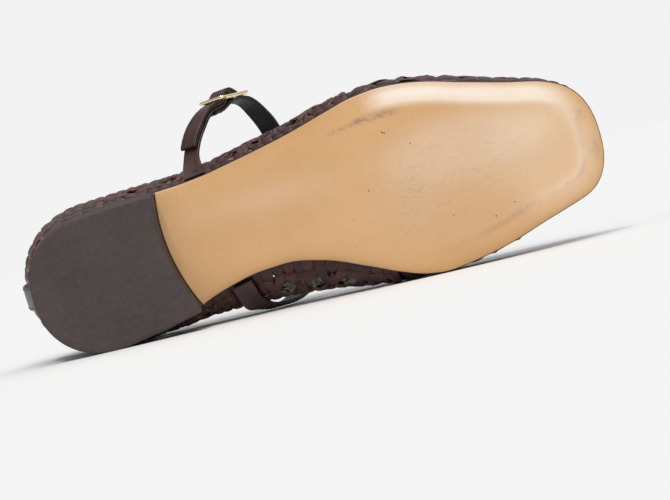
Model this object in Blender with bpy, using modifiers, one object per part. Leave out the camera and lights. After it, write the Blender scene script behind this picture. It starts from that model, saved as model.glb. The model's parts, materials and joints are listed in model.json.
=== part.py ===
"""A woven leather mary jane flat: the right shoe of a pair, EU size 36.5, lying on its medial side.

Every piece is modelled upright, in the shoe's own axes: +X from the back of the heel to the toe, +Y to the
medial side, +Z up from the plane that the heel and the ball stand on. The last step lays the shoe over.
"""

import math

import bmesh
import bpy
import numpy as np
from mathutils import Matrix

# Driving dimensions, in metres. A 36.5 last is 36.5 x 6.667 = 243 mm, and the sole adds about 5 mm.
SOLE_LENGTH = 0.248
HEEL_WIDTH = 0.0587
WAIST_WIDTH = 0.0497
BALL_WIDTH = 0.0823
TOE_WIDTH = 0.0492
SOLE_THICKNESS = 0.0035
SOLE_EDGE_RISE = 0.0008
TOE_SPRING = 0.0075
BALL_FLAT_FROM = 0.158
BALL_FLAT_TO = 0.190
HEEL_HEIGHT = 0.013
HEEL_LENGTH = 0.0613
HEEL_BREAST_SLANT = 0.0064
HEEL_BREAST_HOLLOW = 0.0045
HEEL_TAPER = 0.0005
TOP_PIECE_THICKNESS = 0.005
INSOLE_THICKNESS = 0.002

# The upper: one woven wall. Its feather edge stands a lip inside the sole's edge.
WALL = 0.002
TOE_FOOT_LIFT = 0.0004
SOLE_LIP = 0.0012
WEAVE_RELIEF = 0.00055
EDGE_BRAID_RELIEF = 0.0011
VAMP_LENGTH = 0.081
VAMP_HEIGHT = 0.0385
TOE_HEIGHT = 0.018
TOE_NOSE_RADIUS = 0.012
TOE_BOW = 0.0065
THROAT_DEPTH = 0.018
SIDE_HEIGHT = 0.034
BACK_HEIGHT = 0.050
BACK_FLARE = 0.0062
TOPLINE_LEAN = 0.0045

# Straps, back strip and buckle.
STRAP_WIDTH = 0.0090
STRAP_THICKNESS = 0.0018
BUCKLE_STRAP_THICKNESS = 0.0012
STRAP_TAIL = 0.034
STRAP_FOLD = 0.012
MEDIAL_STRAP_CLEAR = 0.0010
TAIL_SLACK = 0.0004
LATERAL_ROOT = 0.0785
MEDIAL_ROOT = 0.0850
BACK_STRIP_WIDTH = 0.0105
BACK_STRIP_THICKNESS = 0.0014
BACK_STRIP_INSIDE = 0.012
BUCKLE_LENGTH = 0.0178
BUCKLE_WIDTH = 0.0134
BUCKLE_WIRE = 0.0018
PRONG_WIRE = 0.0012
PRONG_LIFT = 0.0001

# Pieces that meet keep this much air between them.
GAP = 0.0003

# How finely the weave is charted: cells across and along the vamp, and up and round the quarters.
VAMP_CELLS_ACROSS = 20
VAMP_CELLS_ALONG = 12
QUARTER_CELLS_UP = 5
QUARTER_CELLS_ROUND = 46
CLOSED_TOE_ROWS = 6

# Plan of the sole and of the last at its widest, one row a section. Along is a share of the sole's length,
# and the four half widths are shares of the width that the row names.
PLAN_COLUMNS = ("along", "width", "sole_medial", "sole_lateral", "last_medial", "last_lateral")
PLAN = (
    (0.000, HEEL_WIDTH, 0.494, 0.494, 0.526, 0.530),
    (0.120, HEEL_WIDTH, 0.501, 0.499, 0.530, 0.538),
    (0.180, HEEL_WIDTH, 0.474, 0.509, 0.524, 0.545),
    (0.250, HEEL_WIDTH, 0.429, 0.501, 0.512, 0.545),
    (0.280, HEEL_WIDTH, 0.370, 0.503, 0.510, 0.548),
    (0.330, WAIST_WIDTH, 0.364, 0.612, 0.600, 0.665),
    (0.380, WAIST_WIDTH, 0.318, 0.650, 0.600, 0.705),
    (0.430, WAIST_WIDTH, 0.308, 0.692, 0.610, 0.750),
    (0.490, WAIST_WIDTH, 0.368, 0.750, 0.645, 0.805),
    (0.560, BALL_WIDTH, 0.313, 0.505, 0.424, 0.540),
    (0.610, BALL_WIDTH, 0.386, 0.539, 0.444, 0.558),
    (0.655, BALL_WIDTH, 0.436, 0.549, 0.455, 0.563),
    (0.690, BALL_WIDTH, 0.451, 0.541, 0.457, 0.556),
    (0.730, BALL_WIDTH, 0.441, 0.518, 0.449, 0.534),
    (0.800, BALL_WIDTH, 0.406, 0.453, 0.414, 0.470),
    (0.870, BALL_WIDTH, 0.349, 0.389, 0.355, 0.400),
    (0.925, TOE_WIDTH, 0.514, 0.575, 0.516, 0.578),
    (0.960, TOE_WIDTH, 0.467, 0.498, 0.460, 0.492),
    (1.000, TOE_WIDTH, 0.427, 0.437, 0.420, 0.430),
)
HEEL_END_RADIUS = 0.029
HEEL_END_POWER = 2.2
TOE_END_RADIUS = 0.0145
TOE_END_POWER = 2.4

# Ridge of the vamp above the feather edge: along the sole, and a share of the height that the row names.
RIDGE = (
    (0.560, VAMP_HEIGHT, 1.045),
    (0.610, VAMP_HEIGHT, 1.035),
    (0.645, VAMP_HEIGHT, 1.020),
    (0.673, VAMP_HEIGHT, 0.985),
    (0.706, VAMP_HEIGHT, 0.905),
    (0.766, VAMP_HEIGHT, 0.766),
    (0.827, VAMP_HEIGHT, 0.650),
    (0.887, TOE_HEIGHT, 1.170),
    (0.927, TOE_HEIGHT, 1.045),
    (0.960, TOE_HEIGHT, 0.945),
    (1.000, TOE_HEIGHT, 0.830),
)
RIDGE_END_POWER = 2.3

# Topline of the quarters above the feather edge, in the same way.
TOPLINE = (
    (0.000, BACK_HEIGHT, 1.000),
    (0.060, BACK_HEIGHT, 0.960),
    (0.130, BACK_HEIGHT, 0.860),
    (0.200, SIDE_HEIGHT, 1.120),
    (0.280, SIDE_HEIGHT, 1.020),
    (0.380, SIDE_HEIGHT, 1.000),
    (0.500, SIDE_HEIGHT, 1.010),
    (0.620, SIDE_HEIGHT, 0.990),
)

SECTION_POWER = 2.35
WIDEST_AT = 0.5
JOIN_BLEND = 0.040
SOLE_STEPS = 44
SOLE_RUNGS = (0.0, 0.07, 0.22, 0.5, 0.78, 0.93, 1.0)
FINE_STEP = 0.0003
BEND_TOLERANCE = 0.00006
TWIST_TOLERANCE = 0.955

# How each material looks, and how heavy it is: colour, roughness, metallic, kg per cubic metre.
MATERIALS = {
    "sole_leather": ((0.68, 0.42, 0.20), 0.42, 0.0, 1000.0),
    "heel_stack": ((0.050, 0.026, 0.020), 0.45, 0.0, 950.0),
    "heel_rubber": ((0.075, 0.060, 0.056), 0.60, 0.0, 1200.0),
    "insole_leather": ((0.30, 0.13, 0.055), 0.55, 0.0, 850.0),
    "woven_leather": ((0.050, 0.020, 0.017), 0.38, 0.0, 850.0),
    "strap_leather": ((0.048, 0.021, 0.018), 0.40, 0.0, 900.0),
    "gold_metal": ((0.85, 0.66, 0.36), 0.20, 1.0, 8400.0),
}


def monotone_curve(xs, ys):
    """A smooth curve through the points that never overshoots them, as a function of x."""
    xs = np.asarray(xs, float)
    ys = np.asarray(ys, float)
    step = np.diff(xs)
    slope = np.diff(ys) / step
    tangent = np.zeros(len(xs))
    same_way = slope[:-1] * slope[1:] > 0
    before = 2 * step[1:] + step[:-1]
    after = step[1:] + 2 * step[:-1]
    safe = np.where(same_way, slope[:-1] * slope[1:], 1.0)
    mean = (before + after) * safe / (before * slope[1:] + after * slope[:-1] + ~same_way)
    tangent[1:-1] = np.where(same_way, mean, 0.0)
    tangent[0] = slope[0]
    tangent[-1] = slope[-1]

    def value(x):
        x = np.clip(x, xs[0], xs[-1])
        i = np.clip(np.searchsorted(xs, x) - 1, 0, len(xs) - 2)
        t = (x - xs[i]) / step[i]
        start = (1 + 2 * t) * (1 - t) ** 2 * ys[i] + t * (1 - t) ** 2 * step[i] * tangent[i]
        end = t * t * (3 - 2 * t) * ys[i + 1] + t * t * (t - 1) * step[i] * tangent[i + 1]
        return start + end

    return value


def plan_curve(column):
    index = PLAN_COLUMNS.index(column)
    return monotone_curve([row[0] * SOLE_LENGTH for row in PLAN], [row[1] * row[index] for row in PLAN])


def height_curve(rows):
    return monotone_curve([row[0] * SOLE_LENGTH for row in rows], [row[1] * row[2] for row in rows])


PLAN_CURVES = {column: plan_curve(column) for column in PLAN_COLUMNS[2:]}
ridge_base = height_curve(RIDGE)
topline_height = height_curve(TOPLINE)


def smooth(t):
    """0 below 0, 1 above 1, and an S between."""
    t = np.clip(t, 0.0, 1.0)
    return t * t * (3 - 2 * t)


def end_round(distance, radius, power):
    """How far a rounded end has opened, from 0 at its tip to 1 a radius in."""
    t = np.clip(distance / radius, 0.0, 1.0)
    return (1 - (1 - t) ** power) ** (1 / power)


def sole_half_width(x, side):
    """Half width of the sole at x, with its rounded heel and squared toe."""
    heel = end_round(x, HEEL_END_RADIUS, HEEL_END_POWER)
    toe = end_round(SOLE_LENGTH - x, TOE_END_RADIUS, TOE_END_POWER)
    return PLAN_CURVES["sole_" + side](x) * heel * toe


def sole_underside(x):
    """Height of the sole's underside: heel seat, waist, flat ball and toe spring."""
    seat_end = HEEL_LENGTH + HEEL_BREAST_SLANT + GAP
    waist = HEEL_HEIGHT * (1 - smooth((x - seat_end) / (BALL_FLAT_FROM - seat_end)))
    spring = TOE_SPRING * np.clip((x - BALL_FLAT_TO) / (SOLE_LENGTH - BALL_FLAT_TO), 0.0, 1.0) ** 2
    return waist + spring


def feather_height(x):
    """Height at which the insole starts, just above the sole."""
    return sole_underside(x) + SOLE_THICKNESS + GAP


def wall_foot(x):
    """Height at which the upper starts. Its toe leans in, so there it starts a little higher."""
    return feather_height(x) + TOE_FOOT_LIFT * smooth((x / SOLE_LENGTH - 0.88) / 0.08)


def half_outline(side, inset=0.0, steps=240):
    """Plan points from the back of the heel to the toe along one side, drawn in by an inset."""
    turn = np.linspace(0.0, math.pi, steps + 1)
    x = SOLE_LENGTH * (1 - np.cos(turn)) / 2
    y = sole_half_width(x, side) * (1 if side == "medial" else -1)
    points = np.stack([x, y], axis=1)
    along = np.gradient(points, axis=0)
    along /= np.linalg.norm(along, axis=1)[:, None]
    inward = np.stack([-along[:, 1], along[:, 0]], axis=1) * (-1 if side == "medial" else 1)
    drawn = points + inward * inset
    drawn[0] = (inset, 0.0)
    drawn[-1] = (SOLE_LENGTH - inset, 0.0)
    return drawn


def resampled(points, count):
    """Count + 1 points at equal distances along a polyline."""
    points = np.asarray(points, float)
    run = np.concatenate([[0.0], np.cumsum(np.linalg.norm(np.diff(points, axis=0), axis=1))])
    at = np.linspace(0.0, run[-1], count + 1)
    return np.stack([np.interp(at, run, points[:, k]) for k in range(points.shape[1])], axis=1)


def unit(v):
    v = np.asarray(v, float)
    return v / np.linalg.norm(v, axis=-1, keepdims=True)


def vamp_section(station, samples=160):
    """Points of the vamp across one station, from the medial to the lateral feather edge.

    Near the toe the stations bow, so that the last one is the toe's own front edge.
    """
    front = SOLE_LENGTH - SOLE_LIP
    bow = TOE_BOW * smooth((station - (front - 6.5 * TOE_BOW)) / (6.5 * TOE_BOW))
    edge = station - bow
    rise = ridge_base(station) * end_round(front - station, TOE_NOSE_RADIUS, RIDGE_END_POWER)
    widest = WIDEST_AT * min(rise, TOE_HEIGHT)
    points = []
    for t in np.linspace(-1.0, 1.0, samples + 1):
        side = "medial" if t < 0 else "lateral"
        feather = sole_half_width(edge, side) - SOLE_LIP
        full = max(PLAN_CURVES["last_" + side](edge), feather)
        full = feather + (full - feather) * min(1.0, rise / TOE_HEIGHT)
        up = 1 - abs(t)
        low = 0.22
        if up < low:
            turn = up / low
            half = feather + (full - feather) * math.sin(turn * math.pi / 2)
            height = widest * turn
        else:
            turn = (up - low) / (1 - low) * math.pi / 2
            half = full * math.cos(turn) ** (2 / SECTION_POWER)
            height = widest + (rise - widest) * math.sin(turn) ** (2 / SECTION_POWER)
        y = half if t < 0 else -half
        x = station - bow * abs(half / max(feather, 1e-6)) ** 2.6 if feather > 0 else station
        x = max(x, edge)
        points.append((x, y, wall_foot(x) + height))
    return np.array(points)


def ridge_run():
    """Length along the vamp's ridge at each of many stations, from behind the throat to the toe's front."""
    front = SOLE_LENGTH - SOLE_LIP
    turn = np.linspace(0.0, math.pi / 2, 400)
    start = BALL_FLAT_FROM - THROAT_DEPTH
    stations = start + (front - start) * np.sin(turn)
    rise = ridge_base(stations) * end_round(front - stations, TOE_NOSE_RADIUS, RIDGE_END_POWER)
    heights = wall_foot(stations) + rise
    steps = np.hypot(np.diff(stations), np.diff(heights))
    return stations, np.concatenate([[0.0], np.cumsum(steps)])


def throat_station(column):
    """Where a column of the vamp starts: at the quarters on the sides, and in a rounded throat between."""
    throat = SOLE_LENGTH - VAMP_LENGTH
    middle = VAMP_CELLS_ACROSS - 2 * QUARTER_CELLS_UP
    share = (column - QUARTER_CELLS_UP) / middle
    if not 0.0 < share < 1.0:
        return throat - THROAT_DEPTH
    return throat - THROAT_DEPTH * (1 - math.sin(math.pi * share) ** 0.75)


def vamp_grid():
    """Half-cell grid of the vamp: rows from the throat to the toe, columns from medial to lateral."""
    stations, run = ridge_run()
    rows = 2 * VAMP_CELLS_ALONG
    columns = 2 * VAMP_CELLS_ACROSS
    grid = np.zeros((rows + 1, columns + 1, 3))
    for column in range(columns + 1):
        begin = np.interp(throat_station(column / 2), stations, run)
        for row in range(rows + 1):
            station = np.interp(begin + (run[-1] - begin) * row / rows, run, stations)
            section = resampled(vamp_section(station), columns)
            grid[row, column] = section[column]
    return grid


def quarter_wall(feather_xy, outward, share):
    """Point of the quarter's wall a share of the way up, from a feather point and its way out in plan."""
    x, y = feather_xy
    side = "medial" if y > 0 else "lateral"
    flare_side = PLAN_CURVES["last_" + side](x) - (PLAN_CURVES["sole_" + side](x) - SOLE_LIP)
    back = outward[0] ** 2 * (x < HEEL_LENGTH)
    flare = flare_side * (1 - back) + BACK_FLARE * back
    out = flare * math.sin(min(share / WIDEST_AT, 1.0) * math.pi / 2)
    out -= TOPLINE_LEAN * max(0.0, (share - WIDEST_AT) / (1 - WIDEST_AT)) ** 2
    height = topline_height(x) * share
    return np.array([x + outward[0] * out, y + outward[1] * out, wall_foot(x) + height])


def quarter_feather():
    """Feather edge from the medial join round the heel to the lateral join, with its ways out."""
    join = SOLE_LENGTH - VAMP_LENGTH - THROAT_DEPTH
    medial = half_outline("medial", SOLE_LIP)
    lateral = half_outline("lateral", SOLE_LIP)
    ends = []
    for half in (medial, lateral):
        kept = half[half[:, 0] < join]
        y = np.interp(join, half[:, 0], half[:, 1])
        ends.append(np.vstack([kept, [join, y]]))
    line = np.vstack([ends[0][::-1], ends[1][1:]])
    points = resampled(line, 4 * QUARTER_CELLS_ROUND)
    along = unit(np.gradient(points, axis=0))
    outward = np.stack([along[:, 1], -along[:, 0]], axis=1)
    return points, outward


def at_place(x, side):
    """The feather point, and its way out, nearest to a place along one side or at the back of the heel."""
    points, outward = quarter_feather()
    if side == "back":
        index = int(np.argmin(points[:, 0]))
        return np.array([SOLE_LIP, 0.0]), np.array([-1.0, 0.0]), index
    wanted = points[:, 1] > 0 if side == "medial" else points[:, 1] < 0
    distance = np.where(wanted, np.abs(points[:, 0] - x), 1.0)
    index = int(np.argmin(distance))
    return points[index], outward[index], index


def quarter_grid(vamp):
    """Half-cell grid of the quarters, from the medial join round the heel to the lateral join."""
    points, outward = quarter_feather()
    points = points[::2]
    outward = outward[::2]
    rows = 2 * QUARTER_CELLS_UP
    count = len(points)
    grid = np.zeros((count, rows + 1, 3))
    for i in range(count):
        for k in range(rows + 1):
            grid[i, k] = quarter_wall(points[i], outward[i], k / rows)
    run = np.concatenate([[0.0], np.cumsum(np.linalg.norm(np.diff(points, axis=0), axis=1))])
    medial_miss = vamp[0, : rows + 1] - grid[0]
    lateral_miss = vamp[0, ::-1][: rows + 1] - grid[-1]
    for i in range(count):
        grid[i] += medial_miss * (1 - smooth(run[i] / JOIN_BLEND))
        grid[i] += lateral_miss * (1 - smooth((run[-1] - run[i]) / JOIN_BLEND))
    return grid


def grid_normals(grid):
    """Unit normals of a grid of points."""
    down = np.gradient(grid, axis=0)
    across = np.gradient(grid, axis=1)
    return unit(np.cross(down, across))


def relief(rows, columns, braid):
    """Weave relief of a half-cell grid: each cell a pillow, its corners low. Braid marks the edge rows."""
    lift = np.zeros((rows, columns))
    for i in range(rows):
        for j in range(columns):
            odd = (i % 2) + (j % 2)
            lift[i, j] = WEAVE_RELIEF * (-0.8, 0.45, 1.0)[odd]
            if braid(i, j):
                lift[i, j] = EDGE_BRAID_RELIEF * (0.1, 0.7, 1.0)[odd]
    return lift


def vamp_hole(row, column):
    """Whether a cell of the vamp is one of the lattice's openings."""
    in_rows = row % 2 == 1 and row < VAMP_CELLS_ALONG - CLOSED_TOE_ROWS
    in_columns = 1 <= column < VAMP_CELLS_ACROSS - 1 and (column + row // 2) % 2 == 1
    return in_rows and in_columns


def quarter_hole(cell, up, x):
    """Whether a cell of the quarters is an opening. The heel is woven shut, like what a strap covers."""
    if x < HEEL_LENGTH * 0.75 or up % 2 == 0 or up >= QUARTER_CELLS_UP - 1:
        return False
    under_strap = min(abs(x - LATERAL_ROOT), abs(x - MEDIAL_ROOT)) < STRAP_WIDTH * 0.75
    return (cell + up // 2) % 2 == 0 and not under_strap


def rounded_hole(mesh_points, corners, middles):
    """Draws the corners of an opening in and its middles out, so that it isn't square."""
    centre = np.mean([mesh_points[i] for i in corners], axis=0)
    for i in corners:
        mesh_points[i] = mesh_points[i] + (centre - mesh_points[i]) * 0.14
    for i in middles:
        mesh_points[i] = mesh_points[i] + (mesh_points[i] - centre) * 0.06


def collect(name):
    collection = bpy.data.collections.new(name)
    bpy.context.scene.collection.children.link(collection)
    return collection


def material(name):
    made = bpy.data.materials.get(name)
    if made is None:
        colour, roughness, metallic, _ = MATERIALS[name]
        made = bpy.data.materials.new(name)
        made.use_nodes = True
        shader = made.node_tree.nodes["Principled BSDF"]
        shader.inputs["Base Color"].default_value = (*colour, 1.0)
        shader.inputs["Roughness"].default_value = roughness
        shader.inputs["Metallic"].default_value = metallic
        made.diffuse_color = (*colour, 1.0)
    return made


def mesh_object(name, points, faces, material_name, collection):
    mesh = bpy.data.meshes.new(name)
    mesh.from_pydata([tuple(p) for p in points], [], faces)
    mesh.validate()
    mesh.update()
    mesh.materials.append(material(material_name))
    obj = bpy.data.objects.new(name, mesh)
    collection.objects.link(obj)
    return obj


def solidify(obj, thickness, offset):
    shell = obj.modifiers.new("Wall", "SOLIDIFY")
    shell.thickness = thickness
    shell.offset = offset
    shell.use_even_offset = False
    return obj


def make_upper(collection):
    """The woven upper: vamp and quarters charted as one wall, with its strips raised and its gaps open."""
    vamp = vamp_grid()
    quarter = quarter_grid(vamp)
    vamp_rows, vamp_columns = vamp.shape[:2]
    around, up = quarter.shape[:2]
    throat = range(2 * QUARTER_CELLS_UP, vamp_columns - 2 * QUARTER_CELLS_UP)
    vamp_lift = relief(vamp_rows, vamp_columns, lambda i, j: i <= 1 and j in throat)
    quarter_lift = relief(around, up, lambda i, k: k >= up - 2)
    vamp_out = vamp - grid_normals(vamp) * vamp_lift[..., None]
    quarter_out = quarter + grid_normals(quarter) * quarter_lift[..., None]
    points = []
    vamp_index = np.zeros((vamp_rows, vamp_columns), int)
    for i in range(vamp_rows):
        for j in range(vamp_columns):
            vamp_index[i, j] = len(points)
            points.append(vamp_out[i, j])
    quarter_index = np.zeros((around, up), int)
    for i in range(around):
        for k in range(up):
            if i == 0:
                quarter_index[i, k] = vamp_index[0, k]
            elif i == around - 1:
                quarter_index[i, k] = vamp_index[0, vamp_columns - 1 - k]
            else:
                quarter_index[i, k] = len(points)
                points.append(quarter_out[i, k])
    faces = []

    def add_cells(index, rows, columns, is_hole, flip):
        for row in range(rows):
            for column in range(columns):
                i, j = 2 * row, 2 * column
                if is_hole(row, column):
                    corners = [index[i + a, j + b] for a in (0, 2) for b in (0, 2)]
                    middles = [index[i, j + 1], index[i + 2, j + 1], index[i + 1, j], index[i + 1, j + 2]]
                    rounded_hole(points, corners, middles)
                    continue
                for a in (0, 1):
                    for b in (0, 1):
                        face = [
                            index[i + a, j + b],
                            index[i + a, j + b + 1],
                            index[i + a + 1, j + b + 1],
                            index[i + a + 1, j + b],
                        ]
                        faces.append(face[::-1] if flip else face)

    add_cells(vamp_index, VAMP_CELLS_ALONG, VAMP_CELLS_ACROSS, vamp_hole, flip=False)
    add_cells(
        quarter_index,
        QUARTER_CELLS_ROUND,
        QUARTER_CELLS_UP,
        lambda cell, up_cell: quarter_hole(cell, up_cell, quarter[2 * cell + 1, 0][0]),
        flip=True,
    )
    used = sorted({i for face in faces for i in face})
    place = {old: new for new, old in enumerate(used)}
    faces = [[place[i] for i in face] for face in faces]
    obj = mesh_object("upper", [points[i] for i in used], faces, "woven_leather", collection)
    return solidify(obj, WALL, -1.0)


def leaf_grid(medial, lateral, height, rungs):
    """Points on rungs laid across a closed outline, from its heel end to its toe end."""
    rows = []
    for a, b in zip(medial, lateral):
        row = []
        for t in rungs:
            x, y = a * (1 - t) + b * t
            row.append((x, y, height(x, t)))
        rows.append(row)
    return np.array(rows)


def leaf_faces(rows, columns):
    """Faces of a leaf grid, whose first and last rungs are single points, and the index of each point."""
    index = np.zeros((rows, columns), int)
    number = 0
    for i in range(rows):
        for j in range(columns):
            if (i in (0, rows - 1)) and j > 0:
                index[i, j] = index[i, 0]
                continue
            index[i, j] = number
            number += 1
    faces = []
    for i in range(rows - 1):
        for j in range(columns - 1):
            face = [index[i, j], index[i + 1, j], index[i + 1, j + 1], index[i, j + 1]]
            kept = [v for n, v in enumerate(face) if v != face[n - 1]]
            faces.append(kept)
    return index, faces


def leaf_solid(name, medial, lateral, low, high, rungs, material_name, collection):
    """A plate between two height functions inside one outline."""
    below = leaf_grid(medial, lateral, low, rungs)
    above = leaf_grid(medial, lateral, high, rungs)
    rows, columns = below.shape[:2]
    index, faces = leaf_faces(rows, columns)
    count = index.max() + 1
    points = np.zeros((2 * count, 3))
    for i in range(rows):
        for j in range(columns):
            points[index[i, j]] = below[i, j]
            points[count + index[i, j]] = above[i, j]
    solid = list(faces)
    solid += [[count + v for v in face[::-1]] for face in faces]
    for edge in (index[:, 0], index[:, -1]):
        for a, b in zip(edge[:-1], edge[1:]):
            solid.append([a, b, count + b, count + a])
    obj = mesh_object(name, points, solid, material_name, collection)
    outward_faces(obj)
    return obj


def outward_faces(obj):
    made = bmesh.new()
    made.from_mesh(obj.data)
    bmesh.ops.recalc_face_normals(made, faces=made.faces)
    made.to_mesh(obj.data)
    made.free()


def paired_halves(inset):
    """Medial and lateral plan points with the same number of points, for rungs to join."""
    medial = resampled(half_outline("medial", inset), SOLE_STEPS)
    lateral = resampled(half_outline("lateral", inset), SOLE_STEPS)
    return medial, lateral


def make_outsole(collection):
    """Leather sole: heel seat, waist, ball and toe spring, its underside easing up to a rounded edge."""
    medial, lateral = paired_halves(0.0)

    def low(x, t):
        return sole_underside(x) + SOLE_EDGE_RISE * abs(2 * t - 1) ** 8

    def high(x, t):
        return sole_underside(x) + SOLE_THICKNESS

    return leaf_solid("outsole", medial, lateral, low, high, SOLE_RUNGS, "sole_leather", collection)


def make_insole(collection):
    """Insole, lying on the sole inside the upper's wall."""
    medial, lateral = paired_halves(SOLE_LIP + WALL + WEAVE_RELIEF + GAP)

    def low(x, t):
        return feather_height(x)

    def high(x, t):
        return feather_height(x) + INSOLE_THICKNESS

    return leaf_solid("insole", medial, lateral, low, high, (0.0, 0.5, 1.0), "insole_leather", collection)


def heel_outline(inset):
    """D-shaped outline of the heel: the sole's own back, then a hollowed breast, a little slanted."""
    sides = []
    for side, breast in (("medial", HEEL_LENGTH + HEEL_BREAST_SLANT), ("lateral", HEEL_LENGTH)):
        half = half_outline(side, inset)
        cut = breast - inset
        rear = half[half[:, 0] < HEEL_LENGTH * 0.85]
        flare = 0.0014 if side == "medial" else 0.0
        corner_y = np.interp(cut, half[:, 0], half[:, 1]) + flare
        sides.append(resampled(np.vstack([rear, [cut, corner_y]]), 16))
    medial, lateral = sides
    start, end = lateral[-1], medial[-1]
    breast = []
    for t in np.linspace(0.0, 1.0, 9)[1:-1]:
        point = start + (end - start) * t
        breast.append(point - np.array([HEEL_BREAST_HOLLOW * 4 * t * (1 - t), 0.0]))
    return np.vstack([medial[::-1], lateral[1:], np.array(breast)])


def prism(name, low_outline, low, high_outline, high, material_name, collection):
    """A block between two like outlines at two heights."""
    count = len(low_outline)
    points = [(x, y, low) for x, y in low_outline] + [(x, y, high) for x, y in high_outline]
    faces = [list(range(count)), list(range(2 * count - 1, count - 1, -1))]
    faces += [[i, (i + 1) % count, count + (i + 1) % count, count + i] for i in range(count)]
    obj = mesh_object(name, points, faces, material_name, collection)
    outward_faces(obj)
    return obj


def make_heel(collection):
    """Stacked heel block under the seat, and the rubber top piece that it walks on."""
    seam = TOP_PIECE_THICKNESS
    top = HEEL_HEIGHT - GAP
    block = prism(
        "heel_block", heel_outline(HEEL_TAPER), seam + GAP, heel_outline(0.0), top, "heel_stack", collection
    )
    piece = prism(
        "heel_top_piece",
        heel_outline(HEEL_TAPER),
        0.0,
        heel_outline(HEEL_TAPER),
        seam,
        "heel_rubber",
        collection,
    )
    edge = piece.modifiers.new("Edge", "BEVEL")
    edge.width = 0.0006
    edge.segments = 1
    edge.limit_method = "ANGLE"
    edge.angle_limit = math.radians(60)
    return block, piece


def band(name, centres, normals, width, thickness, material_name, collection):
    """A flat strap along a line of centres, facing along the normals."""
    centres = np.asarray(centres, float)
    tangents = unit(np.gradient(centres, axis=0))
    normals = np.asarray(normals, float)
    normals = unit(normals - (normals * tangents).sum(1)[:, None] * tangents)
    across = np.cross(tangents, normals)
    points = []
    for centre, side in zip(centres, across):
        points += [centre - side * width / 2, centre + side * width / 2]
    faces = [[2 * i, 2 * i + 1, 2 * i + 3, 2 * i + 2] for i in range(len(centres) - 1)]
    obj = mesh_object(name, points, faces, material_name, collection)
    return solidify(obj, thickness, 0.0)


def curve_through(points, start_way, end_way, per_span=8):
    """A smooth curve through rows of centre and normal, which leaves and arrives along the two ways."""
    points = np.asarray(points, float)
    chord = np.linalg.norm(np.diff(points[:, :3], axis=0), axis=1)[:, None]
    slope = np.diff(points, axis=0) / chord
    tangent = np.zeros_like(points)
    tangent[1:-1] = (slope[:-1] * chord[1:] + slope[1:] * chord[:-1]) / (chord[:-1] + chord[1:])
    tangent[0, :3] = start_way
    tangent[-1, :3] = end_way
    made = []
    for i in range(len(points) - 1):
        for t in np.linspace(0.0, 1.0, per_span, endpoint=False):
            from_start = (1 + 2 * t) * (1 - t) ** 2 * points[i] + t * (1 - t) ** 2 * chord[i] * tangent[i]
            from_end = t * t * (3 - 2 * t) * points[i + 1] + t * t * (t - 1) * chord[i] * tangent[i + 1]
            made.append(from_start + from_end)
    made.append(points[-1])
    return np.array(made)


def thinned(centres, normals, longest):
    """The line of centres and its normals, with only as many points as its bends need."""
    both = np.hstack([centres, normals])
    run = np.concatenate([[0.0], np.cumsum(np.linalg.norm(np.diff(centres, axis=0), axis=1))])
    at = np.linspace(0.0, run[-1], int(run[-1] / FINE_STEP) + 1)
    both = np.stack([np.interp(at, run, both[:, k]) for k in range(6)], axis=1)
    centres, normals = both[:, :3], unit(both[:, 3:])
    kept = [0]
    last = len(at) - 1
    while kept[-1] < last:
        start = kept[-1]
        end = start + 1
        while end < last and at[end + 1] - at[start] < longest:
            chord = unit(centres[end + 1] - centres[start])
            between = centres[start + 1 : end + 1] - centres[start]
            off = np.linalg.norm(between - (between @ chord)[:, None] * chord, axis=1).max()
            if off > BEND_TOLERANCE or normals[end + 1] @ normals[start] < TWIST_TOLERANCE:
                break
            end += 1
        kept.append(end)
    return centres[kept], normals[kept]


def wall_line(x, side, lift, shares):
    """Centres and normals up the wall at one place, lifted off the weave."""
    feather, outward, _ = at_place(x, side)
    centres = []
    normals = []
    for share in shares:
        here = quarter_wall(feather, outward, share)
        higher = quarter_wall(feather, outward, min(share + 0.01, 1.0))
        lower = quarter_wall(feather, outward, max(share - 0.01, 0.0))
        rise = unit(higher - lower)
        flat = np.array([outward[0], outward[1], 0.0])
        normal = unit(flat - rise * float(flat @ rise))
        centres.append(here + normal * lift)
        normals.append(normal)
    return np.array(centres), np.array(normals)


# Free stretch of the straps: place along the sole, across it and up, then the way that the face looks.
# The buckle sits at the first of the instep's rows.
BUCKLE_PLACE = np.array([0.0995, -0.0580, 0.0500])
BUCKLE_TANGENT = unit([0.62, 0.06, 0.78])
BUCKLE_NORMAL = unit([0.0, -1.0, 0.077])
LATERAL_FREE = (
    (0.0792, -0.0365, 0.0285, -0.45, -0.72, -0.50),
    (0.0850, -0.0480, 0.0365, -0.35, -0.80, -0.45),
)
INSTEP_FREE = (
    (0.1125, -0.0450, 0.0645, 0.10, -0.80, 0.60),
    (0.1165, -0.0290, 0.0710, 0.05, -0.40, 0.90),
    (0.1185, -0.0060, 0.0740, 0.00, 0.00, 1.00),
    (0.1175, 0.0150, 0.0705, 0.00, 0.45, 0.90),
    (0.1130, 0.0285, 0.0615, 0.00, 0.85, 0.50),
    (0.1055, 0.0338, 0.0505, -0.05, 0.99, 0.10),
    (0.0975, 0.0344, 0.0400, -0.08, 0.97, -0.22),
    (0.0918, 0.0323, 0.0320, -0.10, 0.96, -0.25),
)


def bar_height():
    """The centre bar sits a little below the end bars."""
    return -0.6 * BUCKLE_WIRE / 2


def layer_step():
    """From the middle of the long strap to the middle of the buckle strap under it."""
    return STRAP_THICKNESS / 2 + GAP + BUCKLE_STRAP_THICKNESS / 2


def bar_wrap():
    """From the middle of the centre bar to the middle of the buckle strap round it."""
    return BUCKLE_WIRE / 2 + GAP + BUCKLE_STRAP_THICKNESS / 2


def near_buckle(along, height):
    return BUCKLE_PLACE + BUCKLE_TANGENT * along + BUCKLE_NORMAL * height


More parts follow.
